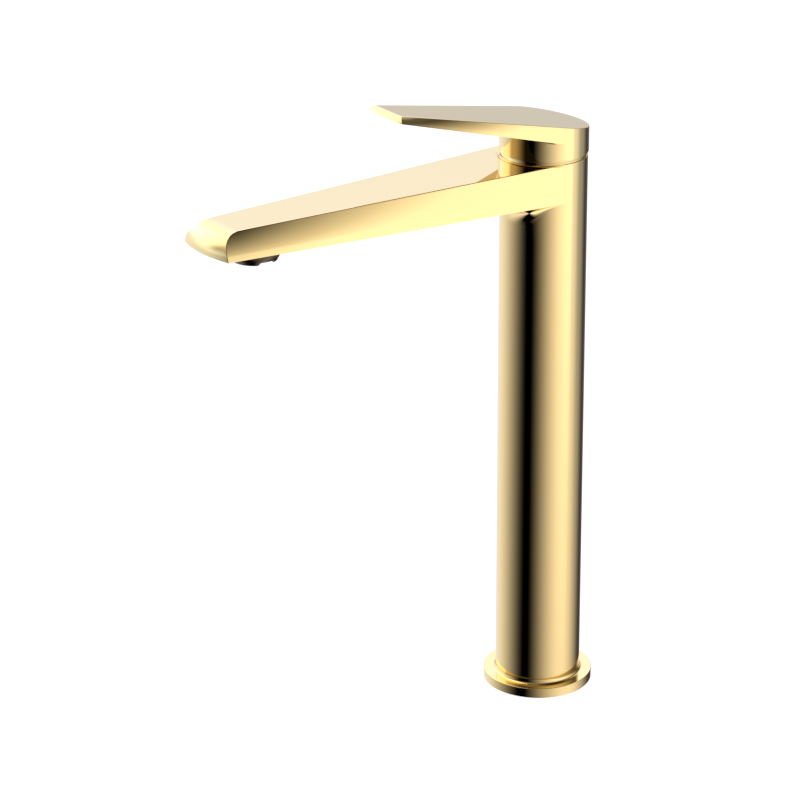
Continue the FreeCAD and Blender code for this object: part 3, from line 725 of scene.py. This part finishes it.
    def _roll_nose(self, bench: Bench) -> None:
        """Draw the tip's corner across to the middle plane as the rolled front.

        Args:
            bench: The half form's bench.
        """
        ends = [self.corner_point(share) for share in self.shares]
        spots = [end for end, _ in ends]
        bench.pick(lambda spot: any((spot - end).length < TINY for end in spots))
        for step in range(self.nose_steps - 1, -1, -1):
            bench.extrude()
            targets = [self.nose(end.x * step / self.nose_steps, turn) for end, turn in ends]
            targets[-1].z = self.foot_level(-targets[-1].y)
            bench.place_row(targets, lambda spot: -spot.y - spot.z)

    def _close(self, bench: Bench) -> None:
        """Fill the top, the underside and the bottom of the half.

        Args:
            bench: The half form's bench.
        """
        bench.pick(lambda spot: (spot - Vector((self.radius, 0.0, self.root_top))).length < TINY)
        bpy.ops.mesh.extrude_vertices_move(
            TRANSFORM_OT_translate={"value": (-self.radius, 0.0, 0.0)})

        def on_top(spot: Vector) -> bool:
            """Whether a place lies in the top face in front of the axis."""
            return (-self.fold - TINY < spot.y < TINY
                    and abs(spot.z - self.top_level(-spot.y)) < 2 * TINY)

        def on_back(spot: Vector) -> bool:
            """Whether a place lies in the top face behind the axis."""
            rise = self.top_rise if self.back_tilted else 0.0
            return spot.y > -TINY and abs(spot.z - self.root_top + rise * spot.y) < 2e-6

        def on_foot(spot: Vector) -> bool:
            """Whether a place lies in the underside, outside the blend."""
            edge = self.radius + self.web_size(math.atan2(spot.x, -spot.y))
            return (spot.y < TINY and math.hypot(spot.x, spot.y) > edge - 5e-8
                    and abs(spot.z - self.foot_level(-spot.y)) < 2 * TINY)

        bench.fill(on_back)
        bench.fill(on_top)
        bench.fill(on_foot)
        bench.fill(lambda spot: abs(spot.z - self.bottom) < TINY)


# ------------------------------------------------------------------ gold pieces


@dataclass
class Assembly:
    """What every sub-assembly of the mixer shares: its paints and where its pieces go."""

    paints: Paintbox

    def fit(self, bench: Bench, coat: Coat, node: str, body: str) -> bpy.types.Object:
        """Finish a piece, dress it and put it in the place of its CAD node.

        Args:
            bench: The piece's bench.
            coat: Its finish.
            node: The CAD node that it stands for.
            body: The CAD body that it moves with.

        Returns:
            The piece.
        """
        piece = bench.finish()
        self.paints.dress(piece, coat)
        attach(piece, body)
        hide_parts(node)
        return piece


@dataclass
class BodyCasting(Assembly):
    """Column and spout in one casting, bored for the cartridge, the tubes and the aerator.

    Its radius, foot, tip and top come from the casting's box, and these are its other sizes.
    """

    spout_climb: float = 2.3 * MM
    top_rise: float = 2.3 / 196.7
    foot_rise: float = 11.5 / 207.8
    root_depth: float = 21.4 * MM
    waist_depth: float = 41 * MM
    nose_length: float = 14.3 * MM
    nose_bow: float = 3.2 * MM
    tip_top_half: float = 12.0 * MM
    tip_foot_half: float = 19.7 * MM
    belly: float = 0.5656
    lean: float = 1.3 * MM
    web: float = 14 * MM
    shares: tuple[float, ...] = (0.0, 0.05, 0.1, 0.155, 0.215, 0.28, 0.35, 0.43, 0.52, 0.61, 0.7,
                                 0.78, 1.0)
    foot_round: float = 1.9 * MM
    rim_round: float = 0.35 * MM
    corner_round: float = 0.3 * MM
    rim_step: float = 0.6 * MM
    groove_inner: float = 1.2 * MM
    groove_outer: float = 3.6 * MM
    column_bore: float = 20.0 * MM
    land_bore: float = 17.6 * MM
    land_height: float = 4.4 * MM
    nut_bore: float = 20.5 * MM
    seat_top: float = 3 * MM
    seat_foot: float = 15 * MM
    tube_bore: float = 5.1 * MM
    tube_depth: float = 12 * MM
    tube_room: float = 0.1 * MM
    aerator_bore: float = 12.05 * MM
    aerator_room: float = 1.5 * MM
    overrun: float = 5 * MM
    hair: float = 0.01 * MM

    def __post_init__(self) -> None:
        """Read the casting's outer sizes from its box."""
        low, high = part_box("body")
        self.radius = high.x
        self.top = high.z - self.spout_climb
        self.form = PostAndArm(
            radius=high.x, bottom=low.z, waist=self.top - self.waist_depth,
            root_top=self.top, root_foot=self.top - self.root_depth,
            top_rise=self.top_rise, foot_rise=self.foot_rise,
            tip_top_half=self.tip_top_half, tip_foot_half=self.tip_foot_half,
            fold=-low.y - self.nose_length, nose_length=self.nose_length,
            nose_bow=self.nose_bow, nose_curl=ROUND, nose_rise=0.0, belly=self.belly,
            lean=self.lean, web=self.web, back_tilted=False, shares=self.shares)

    def build(self) -> None:
        """Model, bore and dress the casting."""
        bench = self.form.model("body_casting")
        self._round_edges(bench)
        for cutter in (self._top_cutter(), self._bore_cutter(), self._aerator_cutter(),
                       self._foot_cutter(), *self._tube_cutters()):
            bench.carve(cutter)
        self.fit(bench, Coat.GOLD, "body", "root")

    def _round_edges(self, bench: Bench) -> None:
        """Break the casting's edges as polishing leaves them.

        Args:
            bench: The casting before it is bored.
        """
        form = self.form

        def rim_edge(a: Vector, b: Vector, turn: float) -> bool:
            """Whether an edge runs round the top faces."""
            return turn > 20 and min(a.z, b.z) > form.root_top - 5 * TINY

        bench.bevel(self.foot_round, 8, form.runs_under)
        bench.bevel(self.rim_round, 4, rim_edge)
        bench.bevel(self.corner_round, 3, form.runs_down_tip)

    def _top_cutter(self) -> Bench:
        """What is cut off the top: down to the column's rim, and a groove round it.

        Returns:
            The cutter.
        """
        tool = Bench("top_cutter")
        rim, groove, shore = (self.radius + wide for wide in (
            1.5 * self.hair, self.groove_inner, self.groove_outer))
        step = self.top - self.rim_step
        tool.lathe([(rim, self.top - self.hair), (rim, step), (groove, step),
                    (shore, self.top + self.rim_step),
                    (shore, self.top + self.rim_step + self.overrun)], 256, ring=False)
        return tool

    def _bore_cutter(self) -> Bench:
        """Nut bore, seal land and cartridge chamber, open at the top.

        Returns:
            The cutter.
        """
        tool = Bench("bore_cutter")
        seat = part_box("cartridge_base")[0].z + self.seat_top
        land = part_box("cartridge_housing")[1].z
        tool.lathe([(self.column_bore, seat), (self.column_bore, land - self.land_height),
                    (self.land_bore, land - self.land_height), (self.land_bore, land),
                    (self.nut_bore, land), (self.nut_bore, self.top + self.overrun)],
                   128, ring=False)
        return tool

    def _aerator_cutter(self) -> Bench:
        """Bore for the aerator under the tip.

        Returns:
            The cutter.
        """
        low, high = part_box("aerator_housing")
        tool = Bench("aerator_cutter")
        tool.lathe([(self.aerator_bore, low.z - self.overrun),
                    (self.aerator_bore, high.z + self.aerator_room)], 128,
                   (0.0, (low.y + high.y) / 2), ring=False)
        return tool

    def _foot_cutter(self) -> Bench:
        """Bore of the column, from the deck up to the cartridge seat.

        Returns:
            The cutter.
        """
        tool = Bench("foot_cutter")
        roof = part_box("cartridge_base")[0].z - self.seat_foot
        tool.lathe([(self.column_bore, -self.overrun), (self.column_bore, roof)], 128, ring=False)
        return tool

    def _tube_cutters(self) -> list[Bench]:
        """Sockets for the two inlet tubes in the underside of the seat.

        Returns:
            One cutter for each tube.
        """
        tools = []
        for node in ("hot_inlet_tube", "cold_inlet_tube"):
            low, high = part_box(node)
            tool = Bench("tube_cutter")
            tool.lathe([(self.tube_bore, high.z - self.tube_depth),
                        (self.tube_bore, high.z + self.tube_room)], 48,
                       ((low.x + high.x) / 2, (low.y + high.y) / 2), ring=False)
            tools.append(tool)
        return tools


@dataclass
class ColumnFoot(Assembly):
    """Flange round the foot of the column, with a cove up to it."""

    width: float = 6.4 * MM
    cove_height: float = 2.3 * MM
    cove_width: float = 1.1 * MM
    cove_steps: int = 6
    edge_round: float = 0.3 * MM

    def build(self) -> None:
        """Turn and dress the flange."""
        low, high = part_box("base_flange")
        inner, outer = high.x - self.width, high.x
        face = high.z - self.cove_height
        turns = [math.pi / 2 * step / self.cove_steps for step in range(self.cove_steps + 1)]
        curve = [(inner + self.cove_width * (1 - math.sin(turn)),
                  high.z - self.cove_height * math.cos(turn)) for turn in turns]
        bench = Bench("foot_flange")
        bench.lathe([(inner, low.z), (outer, low.z), (outer, face), *curve], 192)
        bench.bevel(self.edge_round, 4, lambda a, b, turn: (
            turn > 60 and min(math.hypot(a.x, a.y), math.hypot(b.x, b.y)) > outer - 0.1 * MM))
        self.fit(bench, Coat.GOLD, "base_flange", "root")


@dataclass
class NeckRing(Assembly):
    """Ring in the gap between the column and the handle, domed about the lever's pivot."""

    bore: float = 16 * MM
    rim: float = 20.4 * MM
    rim_height: float = 2.0 * MM
    ball: float = 23.48 * MM
    ball_drop: float = 6.8 * MM
    steps: int = 8

    def build(self) -> None:
        """Turn and dress the ring."""
        low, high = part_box("dome_ring")
        seat = low.z + self.rim_height
        pivot = seat - self.ball_drop
        levels = [seat + (high.z - seat) * step / self.steps for step in range(self.steps + 1)]
        band = [(math.sqrt(self.ball ** 2 - (level - pivot) ** 2), level) for level in levels]
        bench = Bench("neck_ring")
        bench.lathe([(self.bore, low.z), (self.rim, low.z), (self.rim, seat), *band,
                     (self.bore, high.z)], 192)
        self.fit(bench, Coat.GOLD, "dome_ring", "root")


@dataclass
class LeverHandle(Assembly):
    """Hub and flat lever in one piece, with the plug at its back.

    Its radius, foot and tip come from the handle's box, and these are its other sizes.
    """

    tilt: float = math.radians(12.68)
    hub_height: float = 17.0 * MM
    root_depth: float = 9.2 * MM
    tip_depth: float = 2.4 * MM
    waist_height: float = 0.6 * MM
    nose_length: float = 5.2 * MM
    nose_bow: float = 1.6 * MM
    nose_curl: float = 0.35
    tip_top_half: float = 11.3 * MM
    tip_foot_half: float = 15.5 * MM
    belly: float = 0.5
    lean: float = 1.4 * MM
    web: float = 1.2 * MM
    shares: tuple[float, ...] = (0.0, 0.06, 0.13, 0.21, 0.3, 0.4, 0.51, 0.63, 0.76, 1.0)
    foot_round: float = 0.45 * MM
    rim_round: float = 0.3 * MM
    corner_round: float = 0.2 * MM
    pivot_drop: float = 8.8 * MM
    wall: float = 0.6 * MM
    hollow_height: float = 9.8 * MM
    hollow_steps: int = 14
    overrun: float = 0.8 * MM
    boss: float = 8.0 * MM
    boss_gap: float = 1.0 * MM
    boss_rise: float = 0.2 * MM
    stem_width: float = 8.1 * MM
    stem_height: float = 20.5 * MM
    plug_hole: float = 3.05 * MM
    plug_hole_depth: float = 10 * MM
    plug_hole_overrun: float = 3 * MM
    plug_radius: float = 2.97 * MM
    plug_length: float = 1.15 * MM
    plug_round: float = 0.25 * MM
    plug_sink: float = 0.22 * MM

    def __post_init__(self) -> None:
        """Read the handle's outer sizes from its box."""
        low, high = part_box("handle")
        self.bottom = low.z
        self.radius = high.x
        slope = math.tan(self.tilt)
        fold = -low.y - self.nose_length
        root_top = low.z + self.hub_height
        root_foot = root_top - self.root_depth
        corner = -low.y - self.nose_bow
        tip_foot = root_top + slope * fold - self.tip_depth
        self.form = PostAndArm(
            radius=high.x, bottom=low.z, waist=low.z + self.waist_height,
            root_top=root_top, root_foot=root_foot,
            top_rise=slope, foot_rise=(tip_foot - root_foot) / corner,
            tip_top_half=self.tip_top_half, tip_foot_half=self.tip_foot_half,
            fold=fold, nose_length=self.nose_length, nose_bow=self.nose_bow,
            nose_curl=self.nose_curl, nose_rise=slope, belly=self.belly, lean=self.lean,
            web=self.web, back_tilted=True, shares=self.shares)

    def build(self) -> None:
        """Model, hollow and dress the handle and its plug."""
        form = self.form
        bench = form.model("lever_handle")

        def rim_edge(a: Vector, b: Vector, turn: float) -> bool:
            """Whether an edge runs round the top face."""
            return turn > 15 and all(p.z > form.top_level(-p.y) - 5 * TINY for p in (a, b))

        bench.bevel(self.foot_round, 4, form.runs_under)
        bench.bevel(self.rim_round, 4, rim_edge)
        bench.bevel(self.corner_round, 2, form.runs_down_tip)
        hole = self._plug_tool(self.plug_hole, self.plug_hole_depth, self.plug_hole_overrun)
        for cutter in (*self._cavity_cutters(), hole):
            bench.carve(cutter)
        self.fit(bench, Coat.GOLD, "handle", "lever")
        plug = self._plug_tool(self.plug_radius, self.plug_length, 0.0)
        face = self.radius - 0.5 * MM
        plug.bevel(self.plug_round, 3, lambda a, b, turn: turn > 60 and min(a.y, b.y) > face)
        self.fit(plug, Coat.GOLD, "handle_plug", "lever")

    def _cavity_cutters(self) -> list[Bench]:
        """Round hollow over the neck ring, the gap under the boss and the stem's socket.

        Returns:
            The three cutters.
        """
        pivot = self.bottom - self.pivot_drop
        ball = math.hypot(self.radius - self.wall, self.pivot_drop)
        start, roof = self.bottom - self.overrun, self.bottom + self.hollow_height
        levels = [start + (roof - start) * step / self.hollow_steps
                  for step in range(self.hollow_steps + 1)]
        band = [(math.sqrt(ball ** 2 - (level - pivot) ** 2), level) for level in levels]
        hollow = Bench("cavity_cutter")
        hollow.lathe([(self.boss, start), *band, (self.boss, roof)], 160)
        gap = Bench("gap_cutter")
        gap.lathe([(self.boss + self.boss_gap, start),
                   (self.boss + self.boss_gap, self.bottom + self.boss_rise)], 96, ring=False)
        socket = Bench("socket_cutter")
        top = pivot + self.stem_height
        socket.start(bpy.ops.mesh.primitive_cube_add, size=1.0,
                     location=(0.0, 0.0, (start + top) / 2),
                     scale=(self.stem_width, self.stem_width, top - start))
        return [hollow, gap, socket]

    def _plug_tool(self, radius: float, depth: float, past: float) -> Bench:
        """A short lying bar at the back of the hub.

        Args:
            radius: Its radius.
            depth: How far it goes into the hub.
            past: How far it stands out of the hub.

        Returns:
            Its bench, closed.
        """
        low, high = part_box("handle_plug")
        tool = Bench("lever_plug")
        face = self.radius - self.plug_sink + past
        tool.start(bpy.ops.mesh.primitive_circle_add, vertices=48, radius=radius, fill_type="NGON",
                   location=(0.0, face, (low.z + high.z) / 2), rotation=(math.pi / 2, 0.0, 0.0))
        tool.pick(lambda spot: True)
        tool.extrude((0.0, -(depth + past), 0.0))
        tool.weld()
        return tool


@dataclass
class AeratorParts(Assembly):
    """Threaded ring with two coin notches under the spout's tip."""

    bore: float = 9.75 * MM
    thread: float = 11.95 * MM
    collar_height: float = 6.4 * MM
    taper: float = 1.5 * MM
    edge_round: float = 0.5 * MM
    notch_inset: float = 1.0 * MM
    notch_rise: float = 0.4 * MM
    notch_size: tuple[float, float, float] = (6.4 * MM, 9.2 * MM, 2.8 * MM)
    notch_round: float = 1.5 * MM

    def build(self) -> None:
        """Turn, notch and dress the ring."""
        low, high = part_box("aerator_housing")
        centre = (0.0, (low.y + high.y) / 2)
        wide = high.x
        collar = low.z + self.collar_height
        bench = Bench("aerator_ring")
        bench.lathe([(self.bore, low.z), (wide - self.taper, low.z),
                     (wide, low.z + 2 * self.taper), (wide, collar), (self.thread, collar),
                     (self.thread, high.z), (self.bore, high.z)], 128, centre)
        bench.bevel(self.edge_round, 4,
                    lambda a, b, turn: turn > 20 and max(a.z, b.z) < collar - TINY)
        for side in (-1, 1):
            tool = Bench("coin_notch")
            tool.start(bpy.ops.mesh.primitive_cube_add, size=1.0, scale=self.notch_size,
                       location=(side * (wide - self.notch_inset), centre[1],
                                 low.z + self.notch_rise))
            tool.bevel(self.notch_round, 6,
                       lambda a, b, turn: abs(a.x - b.x) > MM and a.z > low.z)
            bench.carve(tool)
        self.fit(bench, Coat.DARK, "aerator_housing", "root")


@dataclass
class InnerWorks(Assembly):
    """The pieces inside, which keep their own meshes."""

    COATS: ClassVar[dict[str, Coat]] = {
        "inlet_block": Coat.BRASS, "cartridge_locknut": Coat.BRASS,
        "hot_inlet_tube": Coat.COPPER, "cold_inlet_tube": Coat.COPPER,
        "cartridge_stem": Coat.STEM, "block_grub_screws": Coat.STEEL, "stem_pin": Coat.STEEL,
        "handle_set_screw": Coat.STEEL, "base_seal": Coat.RUBBER, "flange_o_ring": Coat.RUBBER,
        "lower_tube_o_rings": Coat.RUBBER, "upper_tube_o_rings": Coat.RUBBER,
        "base_seals": Coat.RUBBER, "disc_seals": Coat.RUBBER, "housing_o_ring": Coat.RUBBER,
        "aerator_seal": Coat.RUBBER, "cartridge_base": Coat.GREY, "cartridge_housing": Coat.GREY,
        "disc_carrier": Coat.WHITE, "cartridge_turret": Coat.WHITE, "fixed_disc": Coat.CERAMIC,
        "moving_disc": Coat.CERAMIC, "aerator_grille": Coat.INSERT, "aerator_screen": Coat.INSERT,
        "flow_regulator": Coat.INSERT,
    }

    def build(self) -> None:
        """Dress every piece that isn't modelled again."""
        for name, coat in self.COATS.items():
            self.paints.dress(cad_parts[name], coat)
        log.info("inner works: %d pieces dressed", len(self.COATS))


# ------------------------------------------------------------------ studio


Light = tuple[float, float, float]


def white(level: float) -> Light:
    """Light without a tint."""
    return (level, level, level)


@dataclass(frozen=True)
class Ring:
    """Light round the horizon at one height.

    The height and the bearings are in degrees, 0 is towards the camera and positive bearings are
    to the right of it.  Between two stops the light changes smoothly.
    """

    height: float
    stops: tuple[tuple[float, Light], ...]


RINGS = (
    Ring(-50, (
        (-180, white(0.05)), (-110, (1.0, 1.0, 1.2)), (-60, white(0.0)), (0, white(0.0)),
        (80, (1.6, 1.6, 1.7)), (92, (1.6, 1.6, 1.7)), (106, white(0.05)), (120, white(0.0)),
        (160, white(0.0)), (180, white(0.05)))),
    Ring(-27, (
        (-180, (0.9, 0.95, 1.2)), (-140, (0.9, 0.95, 1.1)), (-41, white(0.0)),
        (-31, white(0.0)), (65, (1.05, 1.05, 1.15)), (145, (0.05, 0.05, 0.06)),
        (160, (0.1, 0.1, 0.12)), (180, (0.9, 0.95, 1.2)))),
    Ring(-19, (
        (-180, (0.95, 1.0, 1.3)), (-140, (0.95, 1.0, 1.2)), (-41, white(0.0)),
        (-31, white(0.0)), (74, (1.45, 1.45, 1.55)), (86, (0.9, 0.95, 1.1)),
        (110, (0.35, 0.4, 0.5)), (140, (0.05, 0.05, 0.07)), (160, (0.15, 0.15, 0.2)),
        (180, (0.95, 1.0, 1.3)))),
    Ring(2, (
        (-180, (0.66, 0.7, 0.8)), (-150, (0.95, 1.1, 1.5)), (-100, (1.05, 1.25, 1.6)),
        (-48, white(0.0)), (-27, white(0.0)), (65, (1.3, 1.35, 1.45)), (130, white(0.12)),
        (172, (0.62, 0.67, 0.77)), (180, (0.66, 0.7, 0.8)))),
    Ring(19, (
        (-180, (1.0, 1.12, 1.48)), (-165, (0.95, 1.1, 1.6)), (-138, (1.45, 1.7, 3.1)),
        (-108, (1.5, 1.6, 1.9)), (-90, white(0.5)), (-48, white(0.0)), (-28, white(0.0)),
        (50, (0.92, 0.92, 0.93)), (130, white(0.12)), (167, (0.98, 1.08, 1.42)),
        (180, (1.0, 1.12, 1.48)))),
    Ring(52, (
        (-180, (2.0, 2.0, 2.6)), (-150, (1.7, 1.7, 1.3)), (-115, (1.7, 1.7, 1.5)),
        (-45, white(0.3)), (0, white(0.2)), (72, white(0.03)), (105, white(0.01)),
        (125, white(0.1)), (168, (1.85, 1.85, 2.4)), (180, (2.0, 2.0, 2.6)))),
)


@dataclass
class Studio:
    """Pale floor, soft light all round and the camera.

    The turn and the pitch are the camera's in degrees, the eye is its place, and the peak is the
    brightest that any light may be.
    """

    turn: float = 53.662
    pitch: float = 22.575
    eye: tuple[float, float, float] = (1.3424, -1.0591, 0.8732)
    lens: float = 156.39
    shift: tuple[float, float] = (-0.04025, 0.0005)
    sensor: float = 36.0
    near: float = 0.05
    far: float = 60.0
    peak: float = 3.2
    floor_size: float = 16.0
    floor_place: tuple[float, float, float] = (-3.0, 3.0, -0.2 * MM)
    floor_tones: tuple[float, float] = (0.80, 0.83)
    floor_grain: float = 3.0
    floor_glow: float = 1.3
    floor_evenness: float = 0.75

    def build(self) -> None:
        """Set up everything round the object."""
        view = bpy.context.scene.view_settings
        view.view_transform = "Standard"
        view.look = "None"
        self._camera()
        self._world()
        self._floor()

    def _camera(self) -> None:
        """Place the camera at the front left, looking down on the spout."""
        data = bpy.data.cameras.new("view")
        data.sensor_width = self.sensor
        data.lens = self.lens
        data.shift_x, data.shift_y = self.shift
        data.clip_start, data.clip_end = self.near, self.far
        camera = bpy.data.objects.new("view", data)
        camera.location = self.eye
        camera.rotation_euler = (math.radians(90 - self.pitch), 0.0, math.radians(self.turn))
        bpy.context.scene.collection.objects.link(camera)
        bpy.context.scene.camera = camera

    def _world(self) -> None:
        """Soft light that changes with direction, with one dark flag between two soft boxes."""
        world = bpy.data.worlds.new("studio")
        bpy.context.scene.world = world
        world.use_nodes = True
        board = Board(world.node_tree)
        way = board.add("ShaderNodeTexCoord", {}, {}).result("Generated")
        turn = math.radians(self.turn)
        toward = self._dot(board, way, (math.sin(turn), -math.cos(turn), 0.0))
        right = self._dot(board, way, (math.cos(turn), math.sin(turn), 0.0))
        upward = self._dot(board, way, (0.0, 0.0, 1.0))
        bearing = board.maths("ARCTAN2", right, toward) * (0.5 / math.pi) + 0.5
        height = board.maths("ARCSINE", upward) * (1 / math.pi) + 0.5
        below = RINGS[0]
        light = self._ramp(board, bearing, below)
        for ring in RINGS[1:]:
            share = self._share(board, height, below.height, ring.height)
            light = board.blend(share, light, self._ramp(board, bearing, ring))
            below = ring
        seen = board.add("ShaderNodeLightPath", {}, {}).result("Is Camera Ray")
        around = board.add("ShaderNodeBackground", {}, {"Color": light, "Strength": self.peak})
        behind = board.add("ShaderNodeBackground", {}, {
            "Color": (1.0, 1.0, 1.0, 1.0), "Strength": 1.0})
        mixed = board.add("ShaderNodeMixShader", {}, {
            0: seen, 1: around.result(), 2: behind.result()})
        board.add("ShaderNodeOutputWorld", {}, {"Surface": mixed.result()})

    def _dot(self, board: Board, way: Signal, axis: tuple[float, float, float]) -> Signal:
        """How far a direction goes along an axis."""
        return board.add("ShaderNodeVectorMath", {"operation": "DOT_PRODUCT"},
                         {0: way, 1: axis}).result("Value")

    def _share(self, board: Board, height: Signal, start: float, stop: float) -> Signal:
        """How far a height has come between two heights in degrees."""
        return board.add("ShaderNodeMapRange", {}, {
            "Value": height, "From Min": start / 180 + 0.5, "From Max": stop / 180 + 0.5}).result()

    def _ramp(self, board: Board, bearing: Signal, ring: Ring) -> Signal:
        """Light of one ring at a bearing, as a share of the peak.

        Args:
            board: The world's board.
            bearing: Where it is round the horizon, 0 to 1 from straight behind the object.
            ring: The ring.

        Returns:
            The light's colour.
        """
        stops = [((turn + 180) / 360, [value / self.peak for value in light])
                 for turn, light in ring.stops]
        return board.add("ShaderNodeValToRGB", {"stops": stops}, {"Fac": bearing}).result("Color")

    def _floor(self) -> None:
        """A pale floor that barely shades under the flange."""
        bench = Bench("floor")
        bench.start(bpy.ops.mesh.primitive_plane_add, size=self.floor_size,
                    location=self.floor_place)
        bench.leave_edit()
        floor = bench.piece
        floor.visible_glossy = False
        made = bpy.data.materials.new("pale_floor")
        made.use_nodes = True
        board = Board(made.node_tree)
        place = board.add("ShaderNodeTexCoord", {}, {}).result("Object")
        dim, bright = self.floor_tones
        tone = board.blend(board.noise(place, self.floor_grain, 3.0), (*white(dim), 1.0),
                           (*white(bright), 1.0))
        soft = board.add("ShaderNodeBsdfDiffuse", {}, {"Color": tone})
        glow = board.add("ShaderNodeEmission", {}, {
            "Color": (1.0, 1.0, 1.0, 1.0), "Strength": self.floor_glow})
        mixed = board.add("ShaderNodeMixShader", {}, {
            0: self.floor_evenness, 1: soft.result(), 2: glow.result()})
        board.add("ShaderNodeOutputMaterial", {}, {"Surface": mixed.result()})
        floor.data.materials.append(made)


# ------------------------------------------------------------------ main


def main() -> None:
    """Build the studio, then every sub-assembly."""
    logging.basicConfig(level=logging.INFO, format="%(name)s: %(message)s")
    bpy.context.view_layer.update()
    Studio().build()
    paints = Paintbox()
    for assembly in (InnerWorks, BodyCasting, ColumnFoot, NeckRing, LeverHandle, AeratorParts):
        assembly(paints).build()


if __name__ == "__main__":
    main()
